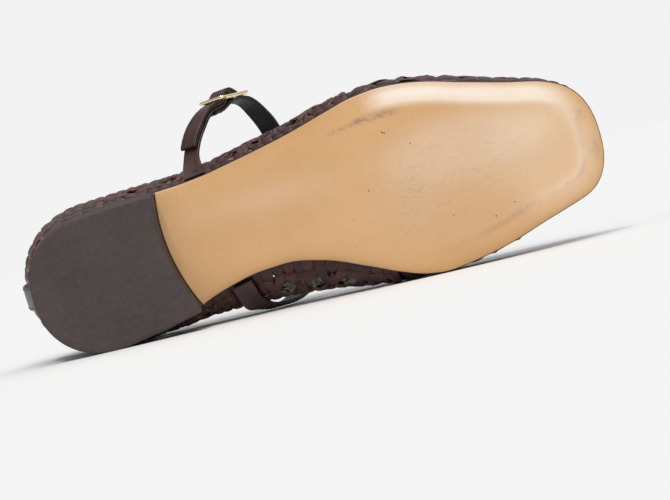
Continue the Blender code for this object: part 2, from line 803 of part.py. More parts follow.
def through_buckle(along, inside):
    """Centre and normal of a layer of strap in the buckle: under its end bars and over its centre bar."""
    low = -(BUCKLE_WIRE / 2 + GAP + STRAP_THICKNESS / 2)
    high = bar_height() + bar_wrap() + layer_step()
    reach = BUCKLE_LENGTH / 2
    turn = max(-1.0, min(1.0, along / reach)) * math.pi
    height = low + (high - low) * (1 + math.cos(turn)) / 2
    slope = -(high - low) / 2 * math.pi / reach * math.sin(turn)
    normal = unit(BUCKLE_NORMAL - BUCKLE_TANGENT * slope)
    return near_buckle(along, height) - normal * inside, normal


def buckle_layer(alongs, inside):
    rows = [through_buckle(along * BUCKLE_LENGTH, inside) for along in alongs]
    return np.array([row[0] for row in rows]), np.array([row[1] for row in rows])


def buckle_strap_rise():
    """Short strap from the sole's lateral edge up to the buckle's near end bar."""
    lift = WEAVE_RELIEF + GAP + BUCKLE_STRAP_THICKNESS / 2
    centres, normals = wall_line(LATERAL_ROOT, "lateral", lift, (0.02, 0.11, 0.20))
    end, facing = through_buckle(-0.5 * BUCKLE_LENGTH, layer_step())
    anchors = np.vstack([np.hstack([centres, normals]), LATERAL_FREE, [np.hstack([end, facing])]])
    rise = curve_through(anchors, unit(centres[1] - centres[0]), BUCKLE_TANGENT)
    return rise[:, :3], unit(rise[:, 3:])


def instep_strap_line():
    """Long strap: its free end over the buckle strap, through the buckle, over the instep, to the sole."""
    under, under_normals = buckle_strap_rise()
    run = np.concatenate([[0.0], np.cumsum(np.linalg.norm(np.diff(under[::-1], axis=0), axis=1))])[::-1]
    spread = layer_step() + TAIL_SLACK * smooth(run / 0.008)
    tail = under + under_normals * spread[:, None]
    keep = run <= STRAP_TAIL - BUCKLE_LENGTH * 0.55
    dome, dome_normals = buckle_layer(np.linspace(-0.5, 0.5, 17), 0.0)
    lift = WEAVE_RELIEF + MEDIAL_STRAP_CLEAR + GAP + STRAP_THICKNESS / 2
    wall_centres, wall_normals = wall_line(MEDIAL_ROOT, "medial", lift, (0.26, 0.14, 0.02))
    anchors = np.vstack(
        [
            [np.hstack([dome[-1], dome_normals[-1]])],
            INSTEP_FREE,
            np.hstack([wall_centres, wall_normals]),
        ]
    )
    rest = curve_through(anchors, BUCKLE_TANGENT, unit(wall_centres[-1] - wall_centres[-2]))
    centres = np.vstack([tail[keep][:-1], dome, rest[1:, :3]])
    normals = np.vstack([under_normals[keep][:-1], dome_normals, unit(rest[1:, 3:])])
    return centres, normals


def buckle_strap_line():
    """Short strap: up from the sole, round the centre bar, and back on its inner side."""
    rise, rise_normals = buckle_strap_rise()
    dome, dome_normals = buckle_layer(np.linspace(-0.46, -0.03, 10), layer_step())
    wrap = []
    wrap_normals = []
    for turn in np.radians(np.linspace(90, -90, 11)):
        way = BUCKLE_TANGENT * math.cos(turn) + BUCKLE_NORMAL * math.sin(turn)
        wrap.append(near_buckle(0.0, bar_height()) + way * bar_wrap())
        wrap_normals.append(way)
    beneath = BUCKLE_STRAP_THICKNESS + 1.5 * GAP
    back, back_normals = buckle_layer(np.linspace(-0.40, -0.5, 5), layer_step() + beneath)
    run = np.concatenate([[0.0], np.cumsum(np.linalg.norm(np.diff(rise[::-1], axis=0), axis=1))])
    kept = (run > 0.0008) & (run <= STRAP_FOLD - BUCKLE_LENGTH * 0.45)
    end = rise[::-1][kept] - rise_normals[::-1][kept] * beneath
    centres = np.vstack([rise, dome, wrap, back, end])
    behind = -rise_normals[::-1][kept]
    normals = np.vstack([rise_normals, dome_normals, wrap_normals, -back_normals, behind])
    return centres, normals


def make_straps(collection):
    centres, normals = thinned(*instep_strap_line(), 0.0045)
    band("instep_strap", centres, normals, STRAP_WIDTH, STRAP_THICKNESS, "strap_leather", collection)
    centres, normals = thinned(*buckle_strap_line(), 0.0045)
    band("buckle_strap", centres, normals, STRAP_WIDTH, BUCKLE_STRAP_THICKNESS, "strap_leather", collection)


def back_strip_line():
    """Up the back of the heel, over the topline and a little way down inside."""
    lift = WEAVE_RELIEF + GAP + BACK_STRIP_THICKNESS / 2
    shares = np.linspace(0.02, 0.98, 12)
    centres, normals = wall_line(0.0, "back", lift, shares)
    centres += normals * ((EDGE_BRAID_RELIEF - WEAVE_RELIEF) * smooth((shares - 0.6) / 0.25))[:, None]
    inner_lift = -(WALL + WEAVE_RELIEF + GAP + BACK_STRIP_THICKNESS / 2)
    inside = np.linspace(0.98, 1 - BACK_STRIP_INSIDE / BACK_HEIGHT, 5)
    inner, inner_normals = wall_line(0.0, "back", inner_lift, inside)
    start, end = centres[-1], inner[0]
    up = unit(centres[-1] - centres[-2])
    middle = (start + end) / 2
    radius = np.linalg.norm(end - start) / 2
    out = unit(start - end)
    fold = []
    fold_normals = []
    for turn in np.linspace(0, 180, 9)[1:-1]:
        way = out * math.cos(math.radians(turn)) + up * math.sin(math.radians(turn))
        fold.append(middle + up * (EDGE_BRAID_RELIEF + GAP) + way * radius)
        fold_normals.append(way)
    return np.vstack([centres, fold, inner]), np.vstack([normals, fold_normals, -inner_normals])


def make_back_strip(collection):
    line, facing = thinned(*back_strip_line(), 0.006)
    band("back_strip", line, facing, BACK_STRIP_WIDTH, BACK_STRIP_THICKNESS, "strap_leather", collection)


def wire(name, points, radius, cyclic, material_name, collection):
    """A round wire along a line of points, as a mesh."""
    data = bpy.data.curves.new(name, "CURVE")
    data.dimensions = "3D"
    data.bevel_depth = radius
    data.bevel_resolution = 2
    data.use_fill_caps = not cyclic
    spline = data.splines.new("POLY")
    spline.points.add(len(points) - 1)
    for knot, point in zip(spline.points, points):
        knot.co = (*point, 1.0)
    spline.use_cyclic_u = cyclic
    curve = bpy.data.objects.new(name + "_line", data)
    collection.objects.link(curve)
    evaluated = curve.evaluated_get(bpy.context.evaluated_depsgraph_get())
    mesh = bpy.data.meshes.new_from_object(evaluated)
    bpy.data.objects.remove(curve)
    made = bmesh.new()
    made.from_mesh(mesh)
    bmesh.ops.remove_doubles(made, verts=made.verts, dist=1e-6)
    bmesh.ops.recalc_face_normals(made, faces=made.faces)
    made.to_mesh(mesh)
    made.free()
    mesh.materials.clear()
    mesh.materials.append(material(material_name))
    obj = bpy.data.objects.new(name, mesh)
    collection.objects.link(obj)
    return obj


def rounded_rectangle(length, width, corner):
    points = []
    for quarter in range(4):
        sx = (1, -1, -1, 1)[quarter]
        sy = (1, 1, -1, -1)[quarter]
        centre = (sx * (length / 2 - corner), sy * (width / 2 - corner))
        for step in np.linspace(0, 90, 4):
            turn = math.radians(90 * quarter + step)
            points.append((centre[0] + corner * math.cos(turn), centre[1] + corner * math.sin(turn)))
    return points


def make_buckle(collection, cutters):
    """Gold frame with its centre bar as one piece, and the prong lying across the strap."""
    across = np.cross(BUCKLE_TANGENT, BUCKLE_NORMAL)
    bar = bar_height()
    sag = (BUCKLE_LENGTH / 2) ** 2
    ring = []
    for along, side in rounded_rectangle(BUCKLE_LENGTH, BUCKLE_WIDTH, 0.0022):
        lift = bar * (1 - along**2 / sag)
        ring.append(BUCKLE_PLACE + BUCKLE_TANGENT * along + BUCKLE_NORMAL * lift + across * side)
    frame = wire("buckle_frame", ring, BUCKLE_WIRE / 2, True, "gold_metal", collection)
    ends = [
        BUCKLE_PLACE + BUCKLE_NORMAL * bar + across * side * BUCKLE_WIDTH / 2
        for side in (-1.0, 1.0)
    ]
    centre_bar = wire("centre_bar", ends, BUCKLE_WIRE / 2 * 0.9, False, "gold_metal", cutters)
    centre_bar.hide_render = True
    centre_bar.display_type = "WIRE"
    join = frame.modifiers.new("Centre bar", "BOOLEAN")
    join.operation = "UNION"
    join.object = centre_bar
    over = STRAP_THICKNESS / 2 + PRONG_WIRE / 2 + GAP + PRONG_LIFT
    prong = list(buckle_layer(np.linspace(0.03, 0.20, 4), -over)[0])
    rest = BUCKLE_WIRE / 2 + GAP + PRONG_WIRE / 2
    prong += [near_buckle(share * BUCKLE_LENGTH, rest) for share in (0.46, 0.53)]
    wire("buckle_prong", prong, PRONG_WIRE / 2, False, "gold_metal", collection)


def evaluated_points(obj, graph):
    """World points and triangles of an object as it is shown."""
    shown = obj.evaluated_get(graph)
    mesh = shown.to_mesh()
    mesh.calc_loop_triangles()
    points = np.array([tuple(shown.matrix_world @ v.co) for v in mesh.vertices])
    triangles = np.array([tuple(t.vertices) for t in mesh.loop_triangles])
    shown.to_mesh_clear()
    return points, triangles


def balance_point(shapes):
    """Centre of mass of all pieces, each as heavy as its material."""
    total = 0.0
    moment = np.zeros(3)
    for points, triangles, density in shapes:
        a, b, c = (points[triangles[:, k]] for k in range(3))
        volumes = np.einsum("ij,ij->i", a, np.cross(b, c)) / 6
        mass = volumes.sum() * density
        total += mass
        moment += ((a + b + c) / 4 * volumes[:, None]).sum(0) * density
    return moment / total


def resting_facet(points, balance, towards):
    """Plane of the hull that the shoe comes to rest on, rolling from the side that it's laid on.

    The facet under the balance point is taken, then the one under it along that facet's own normal, until
    the balance point stands over the facet that it rests on.
    """
    hull = bmesh.new()
    for p in points:
        hull.verts.new(p)
    bmesh.ops.convex_hull(hull, input=hull.verts)
    facets = []
    for face in hull.faces:
        a, b, c = (np.array(v.co) for v in face.verts[:3])
        normal = np.cross(b - a, c - a)
        size = np.linalg.norm(normal)
        if size < 1e-10:
            continue
        normal /= size
        if (a - balance) @ normal < 0:
            normal = -normal
        facets.append((normal, float(a @ normal)))
    hull.free()
    normals = np.array([f[0] for f in facets])
    offsets = np.array([f[1] for f in facets])
    way = unit(towards)
    for _ in range(50):
        facing = normals @ way
        reach = np.where(facing > 1e-6, (offsets - normals @ balance) / np.maximum(facing, 1e-6), np.inf)
        best = int(np.argmin(reach))
        if np.allclose(normals[best], way, atol=1e-6):
            break
        way = normals[best]
    return normals[best], offsets[best]


def lay_on_side(parts, cutters, carrier):
    """Turns the shoe onto its medial side, with the plane that it rests on as the floor."""
    graph = bpy.context.evaluated_depsgraph_get()
    shapes = []
    for obj in parts:
        points, triangles = evaluated_points(obj, graph)
        density = MATERIALS[obj.data.materials[0].name][3]
        shapes.append((points, triangles, density))
    everything = np.vstack([s[0] for s in shapes])
    down, _ = resting_facet(everything, balance_point(shapes), (0.0, 1.0, 0.0))
    up = -down
    forward = unit(np.array([1.0, 0.0, 0.0]) - up * up[0])
    left = np.cross(up, forward)
    turn = np.stack([forward, left, up])
    turned = everything @ turn.T
    low, high = turned.min(0), turned.max(0)
    shift = -np.array([(low[0] + high[0]) / 2, (low[1] + high[1]) / 2, low[2]])
    matrix = Matrix.Identity(4)
    for i in range(3):
        for j in range(3):
            matrix[i][j] = turn[i][j]
        matrix[i][3] = shift[i]
    carrier.matrix_world = matrix
    for obj in parts + cutters:
        obj.parent = carrier
    return matrix


def main():
    for obj in list(bpy.data.objects):
        bpy.data.objects.remove(obj)
    shoe = collect("mary_jane_flat")
    cutters = collect("cutters")
    make_outsole(shoe)
    make_heel(shoe)
    make_insole(shoe)
    make_upper(shoe)
    make_back_strip(shoe)
    make_straps(shoe)
    make_buckle(shoe, cutters)
    carrier = bpy.data.objects.new("laid_on_side", None)
    shoe.objects.link(carrier)
    bpy.context.view_layer.update()
    parts = [obj for obj in shoe.objects if obj.type == "MESH"]
    lay_on_side(parts, list(cutters.objects), carrier)


main()
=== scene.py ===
"""Looks of the woven mary jane flat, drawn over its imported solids.

The shoe is shaped in its own axes, as its solids are: +X from heel to toe, +Y to the medial side, +Z up from
the ground it walks on. A matrix then lays each piece where the solids lie.
"""

import json
import math

import bmesh
import bpy
import numpy as np
from mathutils import Matrix, Vector


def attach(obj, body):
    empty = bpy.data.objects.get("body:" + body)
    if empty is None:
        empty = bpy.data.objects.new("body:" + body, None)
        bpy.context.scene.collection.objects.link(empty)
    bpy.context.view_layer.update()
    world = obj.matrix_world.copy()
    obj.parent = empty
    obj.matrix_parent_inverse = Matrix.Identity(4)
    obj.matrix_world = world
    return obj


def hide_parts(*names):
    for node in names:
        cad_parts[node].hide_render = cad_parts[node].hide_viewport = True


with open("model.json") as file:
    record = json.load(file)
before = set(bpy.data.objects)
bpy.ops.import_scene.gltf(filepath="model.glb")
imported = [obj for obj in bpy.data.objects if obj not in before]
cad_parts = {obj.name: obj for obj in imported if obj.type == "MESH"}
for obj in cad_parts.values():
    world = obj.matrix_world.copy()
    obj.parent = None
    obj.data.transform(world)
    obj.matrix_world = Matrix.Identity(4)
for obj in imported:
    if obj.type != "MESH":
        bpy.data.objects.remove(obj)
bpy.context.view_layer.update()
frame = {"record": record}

# Driving dimensions, in metres. A 36.5 last is 36.5 x 6.667 = 243 mm, and the sole adds about 5 mm.
SOLE_LENGTH = 0.248
HEEL_WIDTH = 0.0587
WAIST_WIDTH = 0.0497
BALL_WIDTH = 0.0823
TOE_WIDTH = 0.0492
SOLE_THICKNESS = 0.0035
TOE_SPRING = 0.0075
BALL_FLAT_FROM = 0.158
BALL_FLAT_TO = 0.190
HEEL_HEIGHT = 0.013
HEEL_LENGTH = 0.0613
HEEL_BREAST_SLANT = 0.0064
HEEL_BREAST_HOLLOW = 0.0045
TOP_PIECE_THICKNESS = 0.005

# The upper: one woven wall. Its feather edge stands a lip inside the sole's edge.
WALL = 0.002
TOE_FOOT_LIFT = 0.0004
TOE_FOOT_FROM = 0.88
TOE_FOOT_RUN = 0.08
SOLE_LIP = 0.0012
WEAVE_RELIEF = 0.00055
EDGE_BRAID_RELIEF = 0.0011
VAMP_LENGTH = 0.081
VAMP_HEIGHT = 0.0385
TOE_HEIGHT = 0.018
TOE_NOSE_RADIUS = 0.012
TOE_BOW = 0.0065
TOE_BOW_REACH = 6.5 * TOE_BOW
TOE_BOW_POWER = 2.6
THROAT_DEPTH = 0.018
THROAT_POWER = 0.75
SIDE_HEIGHT = 0.034
BACK_HEIGHT = 0.050
BACK_FLARE = 0.0062
TOPLINE_LEAN = 0.0045

# Straps, back strip and buckle.
STRAP_WIDTH = 0.0090
STRAP_THICKNESS = 0.0018
BUCKLE_STRAP_THICKNESS = 0.0012
STRAP_TAIL = 0.034
STRAP_FOLD = 0.012
MEDIAL_STRAP_CLEAR = 0.0010
TAIL_SLACK = 0.0004
TAIL_SLACK_REACH = 0.008
LATERAL_ROOT = 0.0785
MEDIAL_ROOT = 0.0850
BACK_STRIP_WIDTH = 0.0105
BACK_STRIP_THICKNESS = 0.0014
BACK_STRIP_INSIDE = 0.012
BUCKLE_LENGTH = 0.0178
BUCKLE_WIDTH = 0.0134
BUCKLE_WIRE = 0.0018
PRONG_WIRE = 0.0012
PRONG_LIFT = 0.0001
BAR_DROP = 0.6

# Pieces that meet keep this much air between them.
GAP = 0.0003

# How finely the weave is charted: cells across and along the vamp, and up and round the quarters.
VAMP_CELLS_ACROSS = 20
VAMP_CELLS_ALONG = 12
QUARTER_CELLS_UP = 5
QUARTER_CELLS_ROUND = 46
CLOSED_TOE_ROWS = 6
OPENINGS_FROM = 0.75 * HEEL_LENGTH
STRAP_COVERS = 0.75 * STRAP_WIDTH

# Plan of the sole and of the last at its widest, one row a section. Along is a share of the sole's length,
# and the four half widths are shares of the width that the row names.
PLAN_COLUMNS = ("along", "width", "sole_medial", "sole_lateral", "last_medial", "last_lateral")
PLAN = (
    (0.000, HEEL_WIDTH, 0.494, 0.494, 0.526, 0.530),
    (0.120, HEEL_WIDTH, 0.501, 0.499, 0.530, 0.538),
    (0.180, HEEL_WIDTH, 0.474, 0.509, 0.524, 0.545),
    (0.250, HEEL_WIDTH, 0.429, 0.501, 0.512, 0.545),
    (0.280, HEEL_WIDTH, 0.370, 0.503, 0.510, 0.548),
    (0.330, WAIST_WIDTH, 0.364, 0.612, 0.600, 0.665),
    (0.380, WAIST_WIDTH, 0.318, 0.650, 0.600, 0.705),
    (0.430, WAIST_WIDTH, 0.308, 0.692, 0.610, 0.750),
    (0.490, WAIST_WIDTH, 0.368, 0.750, 0.645, 0.805),
    (0.560, BALL_WIDTH, 0.313, 0.505, 0.424, 0.540),
    (0.610, BALL_WIDTH, 0.386, 0.539, 0.444, 0.558),
    (0.655, BALL_WIDTH, 0.436, 0.549, 0.455, 0.563),
    (0.690, BALL_WIDTH, 0.451, 0.541, 0.457, 0.556),
    (0.730, BALL_WIDTH, 0.441, 0.518, 0.449, 0.534),
    (0.800, BALL_WIDTH, 0.406, 0.453, 0.414, 0.470),
    (0.870, BALL_WIDTH, 0.349, 0.389, 0.355, 0.400),
    (0.925, TOE_WIDTH, 0.514, 0.575, 0.516, 0.578),
    (0.960, TOE_WIDTH, 0.467, 0.498, 0.460, 0.492),
    (1.000, TOE_WIDTH, 0.427, 0.437, 0.420, 0.430),
)
HEEL_END_RADIUS = 0.029
HEEL_END_POWER = 2.2
TOE_END_RADIUS = 0.0145
TOE_END_POWER = 2.4

# Ridge of the vamp above the feather edge: along the sole, and a share of the height that the row names.
RIDGE = (
    (0.560, VAMP_HEIGHT, 1.045),
    (0.610, VAMP_HEIGHT, 1.035),
    (0.645, VAMP_HEIGHT, 1.020),
    (0.673, VAMP_HEIGHT, 0.985),
    (0.706, VAMP_HEIGHT, 0.905),
    (0.766, VAMP_HEIGHT, 0.766),
    (0.827, VAMP_HEIGHT, 0.650),
    (0.887, TOE_HEIGHT, 1.170),
    (0.927, TOE_HEIGHT, 1.045),
    (0.960, TOE_HEIGHT, 0.945),
    (1.000, TOE_HEIGHT, 0.830),
)
RIDGE_END_POWER = 2.3

# Topline of the quarters above the feather edge, in the same way.
TOPLINE = (
    (0.000, BACK_HEIGHT, 1.000),
    (0.060, BACK_HEIGHT, 0.960),
    (0.130, BACK_HEIGHT, 0.860),
    (0.200, SIDE_HEIGHT, 1.120),
    (0.280, SIDE_HEIGHT, 1.020),
    (0.380, SIDE_HEIGHT, 1.000),
    (0.500, SIDE_HEIGHT, 1.010),
    (0.620, SIDE_HEIGHT, 0.990),
)

SECTION_POWER = 2.35
WIDEST_AT = 0.5
JOIN_BLEND = 0.040
WIDEST_RUN = 0.22
SECTION_STEPS = 160
HEEL_SIDE_STEPS = 140
HEEL_BREAST_STEPS = 60
HEEL_CORNER_FLARE = 0.0014


def monotone_curve(xs, ys):
    """A smooth curve through the points that never overshoots them, as a function of x."""
    xs = np.asarray(xs, float)
    ys = np.asarray(ys, float)
    step = np.diff(xs)
    slope = np.diff(ys) / step
    tangent = np.zeros(len(xs))
    same_way = slope[:-1] * slope[1:] > 0
    before = 2 * step[1:] + step[:-1]
    after = step[1:] + 2 * step[:-1]
    safe = np.where(same_way, slope[:-1] * slope[1:], 1.0)
    mean = (before + after) * safe / (before * slope[1:] + after * slope[:-1] + ~same_way)
    tangent[1:-1] = np.where(same_way, mean, 0.0)
    tangent[0] = slope[0]
    tangent[-1] = slope[-1]

    def value(x):
        x = np.clip(x, xs[0], xs[-1])
        i = np.clip(np.searchsorted(xs, x) - 1, 0, len(xs) - 2)
        t = (x - xs[i]) / step[i]
        start = (1 + 2 * t) * (1 - t) ** 2 * ys[i] + t * (1 - t) ** 2 * step[i] * tangent[i]
        end = t * t * (3 - 2 * t) * ys[i + 1] + t * t * (t - 1) * step[i] * tangent[i + 1]
        return start + end

    return value


def plan_curve(column):
    index = PLAN_COLUMNS.index(column)
    return monotone_curve([row[0] * SOLE_LENGTH for row in PLAN], [row[1] * row[index] for row in PLAN])


def height_curve(rows):
    return monotone_curve([row[0] * SOLE_LENGTH for row in rows], [row[1] * row[2] for row in rows])


PLAN_CURVES = {column: plan_curve(column) for column in PLAN_COLUMNS[2:]}
ridge_base = height_curve(RIDGE)
topline_height = height_curve(TOPLINE)


def smooth(t):
    """0 below 0, 1 above 1, and an S between."""
    t = np.clip(t, 0.0, 1.0)
    return t * t * (3 - 2 * t)


def end_round(distance, radius, power):
    """How far a rounded end has opened, from 0 at its tip to 1 a radius in."""
    t = np.clip(distance / radius, 0.0, 1.0)
    return (1 - (1 - t) ** power) ** (1 / power)


def sole_half_width(x, side):
    """Half width of the sole at x, with its rounded heel and squared toe."""
    heel = end_round(x, HEEL_END_RADIUS, HEEL_END_POWER)
    toe = end_round(SOLE_LENGTH - x, TOE_END_RADIUS, TOE_END_POWER)
    return PLAN_CURVES["sole_" + side](x) * heel * toe


def sole_underside(x):
    """Height of the sole's underside: heel seat, waist, flat ball and toe spring."""
    seat_end = HEEL_LENGTH + HEEL_BREAST_SLANT + GAP
    waist = HEEL_HEIGHT * (1 - smooth((x - seat_end) / (BALL_FLAT_FROM - seat_end)))
    spring = TOE_SPRING * np.clip((x - BALL_FLAT_TO) / (SOLE_LENGTH - BALL_FLAT_TO), 0.0, 1.0) ** 2
    return waist + spring


def feather_height(x):
    """Height at which the insole starts, just above the sole."""
    return sole_underside(x) + SOLE_THICKNESS + GAP


def wall_foot(x):
    """Height at which the upper starts. Its toe leans in, so there it starts a little higher."""
    return feather_height(x) + TOE_FOOT_LIFT * smooth((x / SOLE_LENGTH - TOE_FOOT_FROM) / TOE_FOOT_RUN)


def half_outline(side, inset=0.0, steps=240):
    """Plan points from the back of the heel to the toe along one side, drawn in by an inset."""
    turn = np.linspace(0.0, math.pi, steps + 1)
    x = SOLE_LENGTH * (1 - np.cos(turn)) / 2
    y = sole_half_width(x, side) * (1 if side == "medial" else -1)
    points = np.stack([x, y], axis=1)
    along = np.gradient(points, axis=0)
    along /= np.linalg.norm(along, axis=1)[:, None]
    inward = np.stack([-along[:, 1], along[:, 0]], axis=1) * (-1 if side == "medial" else 1)
    drawn = points + inward * inset
    drawn[0] = (inset, 0.0)
    drawn[-1] = (SOLE_LENGTH - inset, 0.0)
    return drawn


def run_along(points):
    """Length along a polyline at each of its points."""
    return np.concatenate([[0.0], np.cumsum(np.linalg.norm(np.diff(points, axis=0), axis=1))])


def sampled(at, run, rows):
    """Rows read off at places along their run."""
    return np.stack([np.interp(at, run, rows[:, k]) for k in range(rows.shape[1])], axis=1)


def resampled(points, count):
    """Count + 1 points at equal distances along a polyline."""
    run = run_along(points)
    return sampled(np.linspace(0.0, run[-1], count + 1), run, points)


def unit(v):
    v = np.asarray(v, float)
    return v / np.linalg.norm(v, axis=-1, keepdims=True)


def vamp_section(station):
    """Points of the vamp across one station, from the medial to the lateral feather edge.

    Near the toe the stations bow, so that the last one is the toe's own front edge.
    """
    front = SOLE_LENGTH - SOLE_LIP
    bow = TOE_BOW * smooth((station - (front - TOE_BOW_REACH)) / TOE_BOW_REACH)
    edge = station - bow
    rise = ridge_base(station) * end_round(front - station, TOE_NOSE_RADIUS, RIDGE_END_POWER)
    widest = WIDEST_AT * min(rise, TOE_HEIGHT)
    points = []
    for t in np.linspace(-1.0, 1.0, SECTION_STEPS + 1):
        side = "medial" if t < 0 else "lateral"
        feather = sole_half_width(edge, side) - SOLE_LIP
        full = max(PLAN_CURVES["last_" + side](edge), feather)
        full = feather + (full - feather) * min(1.0, rise / TOE_HEIGHT)
        up = 1 - abs(t)
        if up < WIDEST_RUN:
            turn = up / WIDEST_RUN
            half = feather + (full - feather) * math.sin(turn * math.pi / 2)
            height = widest * turn
        else:
            turn = (up - WIDEST_RUN) / (1 - WIDEST_RUN) * math.pi / 2
            half = full * math.cos(turn) ** (2 / SECTION_POWER)
            height = widest + (rise - widest) * math.sin(turn) ** (2 / SECTION_POWER)
        y = half if t < 0 else -half
        x = station - bow * abs(half / max(feather, 1e-6)) ** TOE_BOW_POWER if feather > 0 else station
        x = max(x, edge)
        points.append((x, y, wall_foot(x) + height))
    return np.array(points)


def ridge_run():
    """Length along the vamp's ridge at each of many stations, from behind the throat to the toe's front."""
    front = SOLE_LENGTH - SOLE_LIP
    turn = np.linspace(0.0, math.pi / 2, 400)
    start = BALL_FLAT_FROM - THROAT_DEPTH
    stations = start + (front - start) * np.sin(turn)
    rise = ridge_base(stations) * end_round(front - stations, TOE_NOSE_RADIUS, RIDGE_END_POWER)
    heights = wall_foot(stations) + rise
    steps = np.hypot(np.diff(stations), np.diff(heights))
    return stations, np.concatenate([[0.0], np.cumsum(steps)])


def throat_station(column):
    """Where a column of the vamp starts: at the quarters on the sides, and in a rounded throat between."""
    throat = SOLE_LENGTH - VAMP_LENGTH
    middle = VAMP_CELLS_ACROSS - 2 * QUARTER_CELLS_UP
    share = (column - QUARTER_CELLS_UP) / middle
    if not 0.0 < share < 1.0:
        return throat - THROAT_DEPTH
    return throat - THROAT_DEPTH * (1 - math.sin(math.pi * share) ** THROAT_POWER)


def vamp_grid():
    """Half-cell grid of the vamp: rows from the throat to the toe, columns from medial to lateral."""
    stations, run = ridge_run()
    rows = 2 * VAMP_CELLS_ALONG
    columns = 2 * VAMP_CELLS_ACROSS
    grid = np.zeros((rows + 1, columns + 1, 3))
    for column in range(columns + 1):
        begin = np.interp(throat_station(column / 2), stations, run)
        for row in range(rows + 1):
            station = np.interp(begin + (run[-1] - begin) * row / rows, run, stations)
            section = resampled(vamp_section(station), columns)
            grid[row, column] = section[column]
    return grid


def quarter_wall(feather_xy, outward, share):
    """Point of the quarter's wall a share of the way up, from a feather point and its way out in plan."""
    x, y = feather_xy
    side = "medial" if y > 0 else "lateral"
    flare_side = PLAN_CURVES["last_" + side](x) - (PLAN_CURVES["sole_" + side](x) - SOLE_LIP)
    back = outward[0] ** 2 * (x < HEEL_LENGTH)
    flare = flare_side * (1 - back) + BACK_FLARE * back
    out = flare * math.sin(min(share / WIDEST_AT, 1.0) * math.pi / 2)
    out -= TOPLINE_LEAN * max(0.0, (share - WIDEST_AT) / (1 - WIDEST_AT)) ** 2
    height = topline_height(x) * share
    return np.array([x + outward[0] * out, y + outward[1] * out, wall_foot(x) + height])


def quarter_feather():
    """Feather edge from the medial join round the heel to the lateral join, with its ways out."""
    join = SOLE_LENGTH - VAMP_LENGTH - THROAT_DEPTH
    medial = half_outline("medial", SOLE_LIP)
    lateral = half_outline("lateral", SOLE_LIP)
    ends = []
    for half in (medial, lateral):
        kept = half[half[:, 0] < join]
        y = np.interp(join, half[:, 0], half[:, 1])
        ends.append(np.vstack([kept, [join, y]]))
    line = np.vstack([ends[0][::-1], ends[1][1:]])
    points = resampled(line, 4 * QUARTER_CELLS_ROUND)
    along = unit(np.gradient(points, axis=0))
    outward = np.stack([along[:, 1], -along[:, 0]], axis=1)
    return points, outward


def at_place(x, side):
    """The feather point, and its way out, nearest to a place along one side or at the back of the heel."""
    if side == "back":
        return np.array([SOLE_LIP, 0.0]), np.array([-1.0, 0.0])
    points, outward = quarter_feather()
    wanted = points[:, 1] > 0 if side == "medial" else points[:, 1] < 0
    distance = np.where(wanted, np.abs(points[:, 0] - x), 1.0)
    index = int(np.argmin(distance))
    return points[index], outward[index]


def quarter_grid(vamp):
    """Half-cell grid of the quarters, from the medial join round the heel to the lateral join."""
    points, outward = quarter_feather()
    points = points[::2]
    outward = outward[::2]
    rows = 2 * QUARTER_CELLS_UP
    count = len(points)
    grid = np.zeros((count, rows + 1, 3))
    for i in range(count):
        for k in range(rows + 1):
            grid[i, k] = quarter_wall(points[i], outward[i], k / rows)
    run = run_along(points)
    medial_miss = vamp[0, : rows + 1] - grid[0]
    lateral_miss = vamp[0, ::-1][: rows + 1] - grid[-1]
    for i in range(count):
        grid[i] += medial_miss * (1 - smooth(run[i] / JOIN_BLEND))
        grid[i] += lateral_miss * (1 - smooth((run[-1] - run[i]) / JOIN_BLEND))
    return grid


def grid_normals(grid):
    """Unit normals of a grid of points."""
    down = np.gradient(grid, axis=0)
    across = np.gradient(grid, axis=1)
    return unit(np.cross(down, across))


def vamp_hole(row, column):
    """Whether a cell of the vamp is one of the lattice's openings."""
    in_rows = row % 2 == 1 and row < VAMP_CELLS_ALONG - CLOSED_TOE_ROWS
    in_columns = 1 <= column < VAMP_CELLS_ACROSS - 1 and (column + row // 2) % 2 == 1
    return in_rows and in_columns


def quarter_hole(cell, up, x):
    """Whether a cell of the quarters is an opening. The heel is woven shut, like what a strap covers."""
    if x < OPENINGS_FROM or up % 2 == 0 or up >= QUARTER_CELLS_UP - 1:
        return False
    under_strap = min(abs(x - LATERAL_ROOT), abs(x - MEDIAL_ROOT)) < STRAP_COVERS
    return (cell + up // 2) % 2 == 0 and not under_strap


def heel_outline():
    """D-shaped outline of the heel: the sole's own back, then a hollowed breast, a little slanted."""
    sides = []
    for side, cut, flare in (
        ("medial", HEEL_LENGTH + HEEL_BREAST_SLANT, HEEL_CORNER_FLARE),
        ("lateral", HEEL_LENGTH, 0.0),
    ):
        half = half_outline(side)
        rear = half[half[:, 0] < HEEL_LENGTH * 0.85]
        corner_y = np.interp(cut, half[:, 0], half[:, 1]) + flare
        sides.append(resampled(np.vstack([rear, [cut, corner_y]]), HEEL_SIDE_STEPS))
    medial, lateral = sides
    start, end = lateral[-1], medial[-1]
    breast = []
    for t in np.linspace(0.0, 1.0, HEEL_BREAST_STEPS + 1)[1:-1]:
        point = start + (end - start) * t
        breast.append(point - np.array([HEEL_BREAST_HOLLOW * 4 * t * (1 - t), 0.0]))
    return np.vstack([medial[::-1], lateral[1:], np.array(breast)])


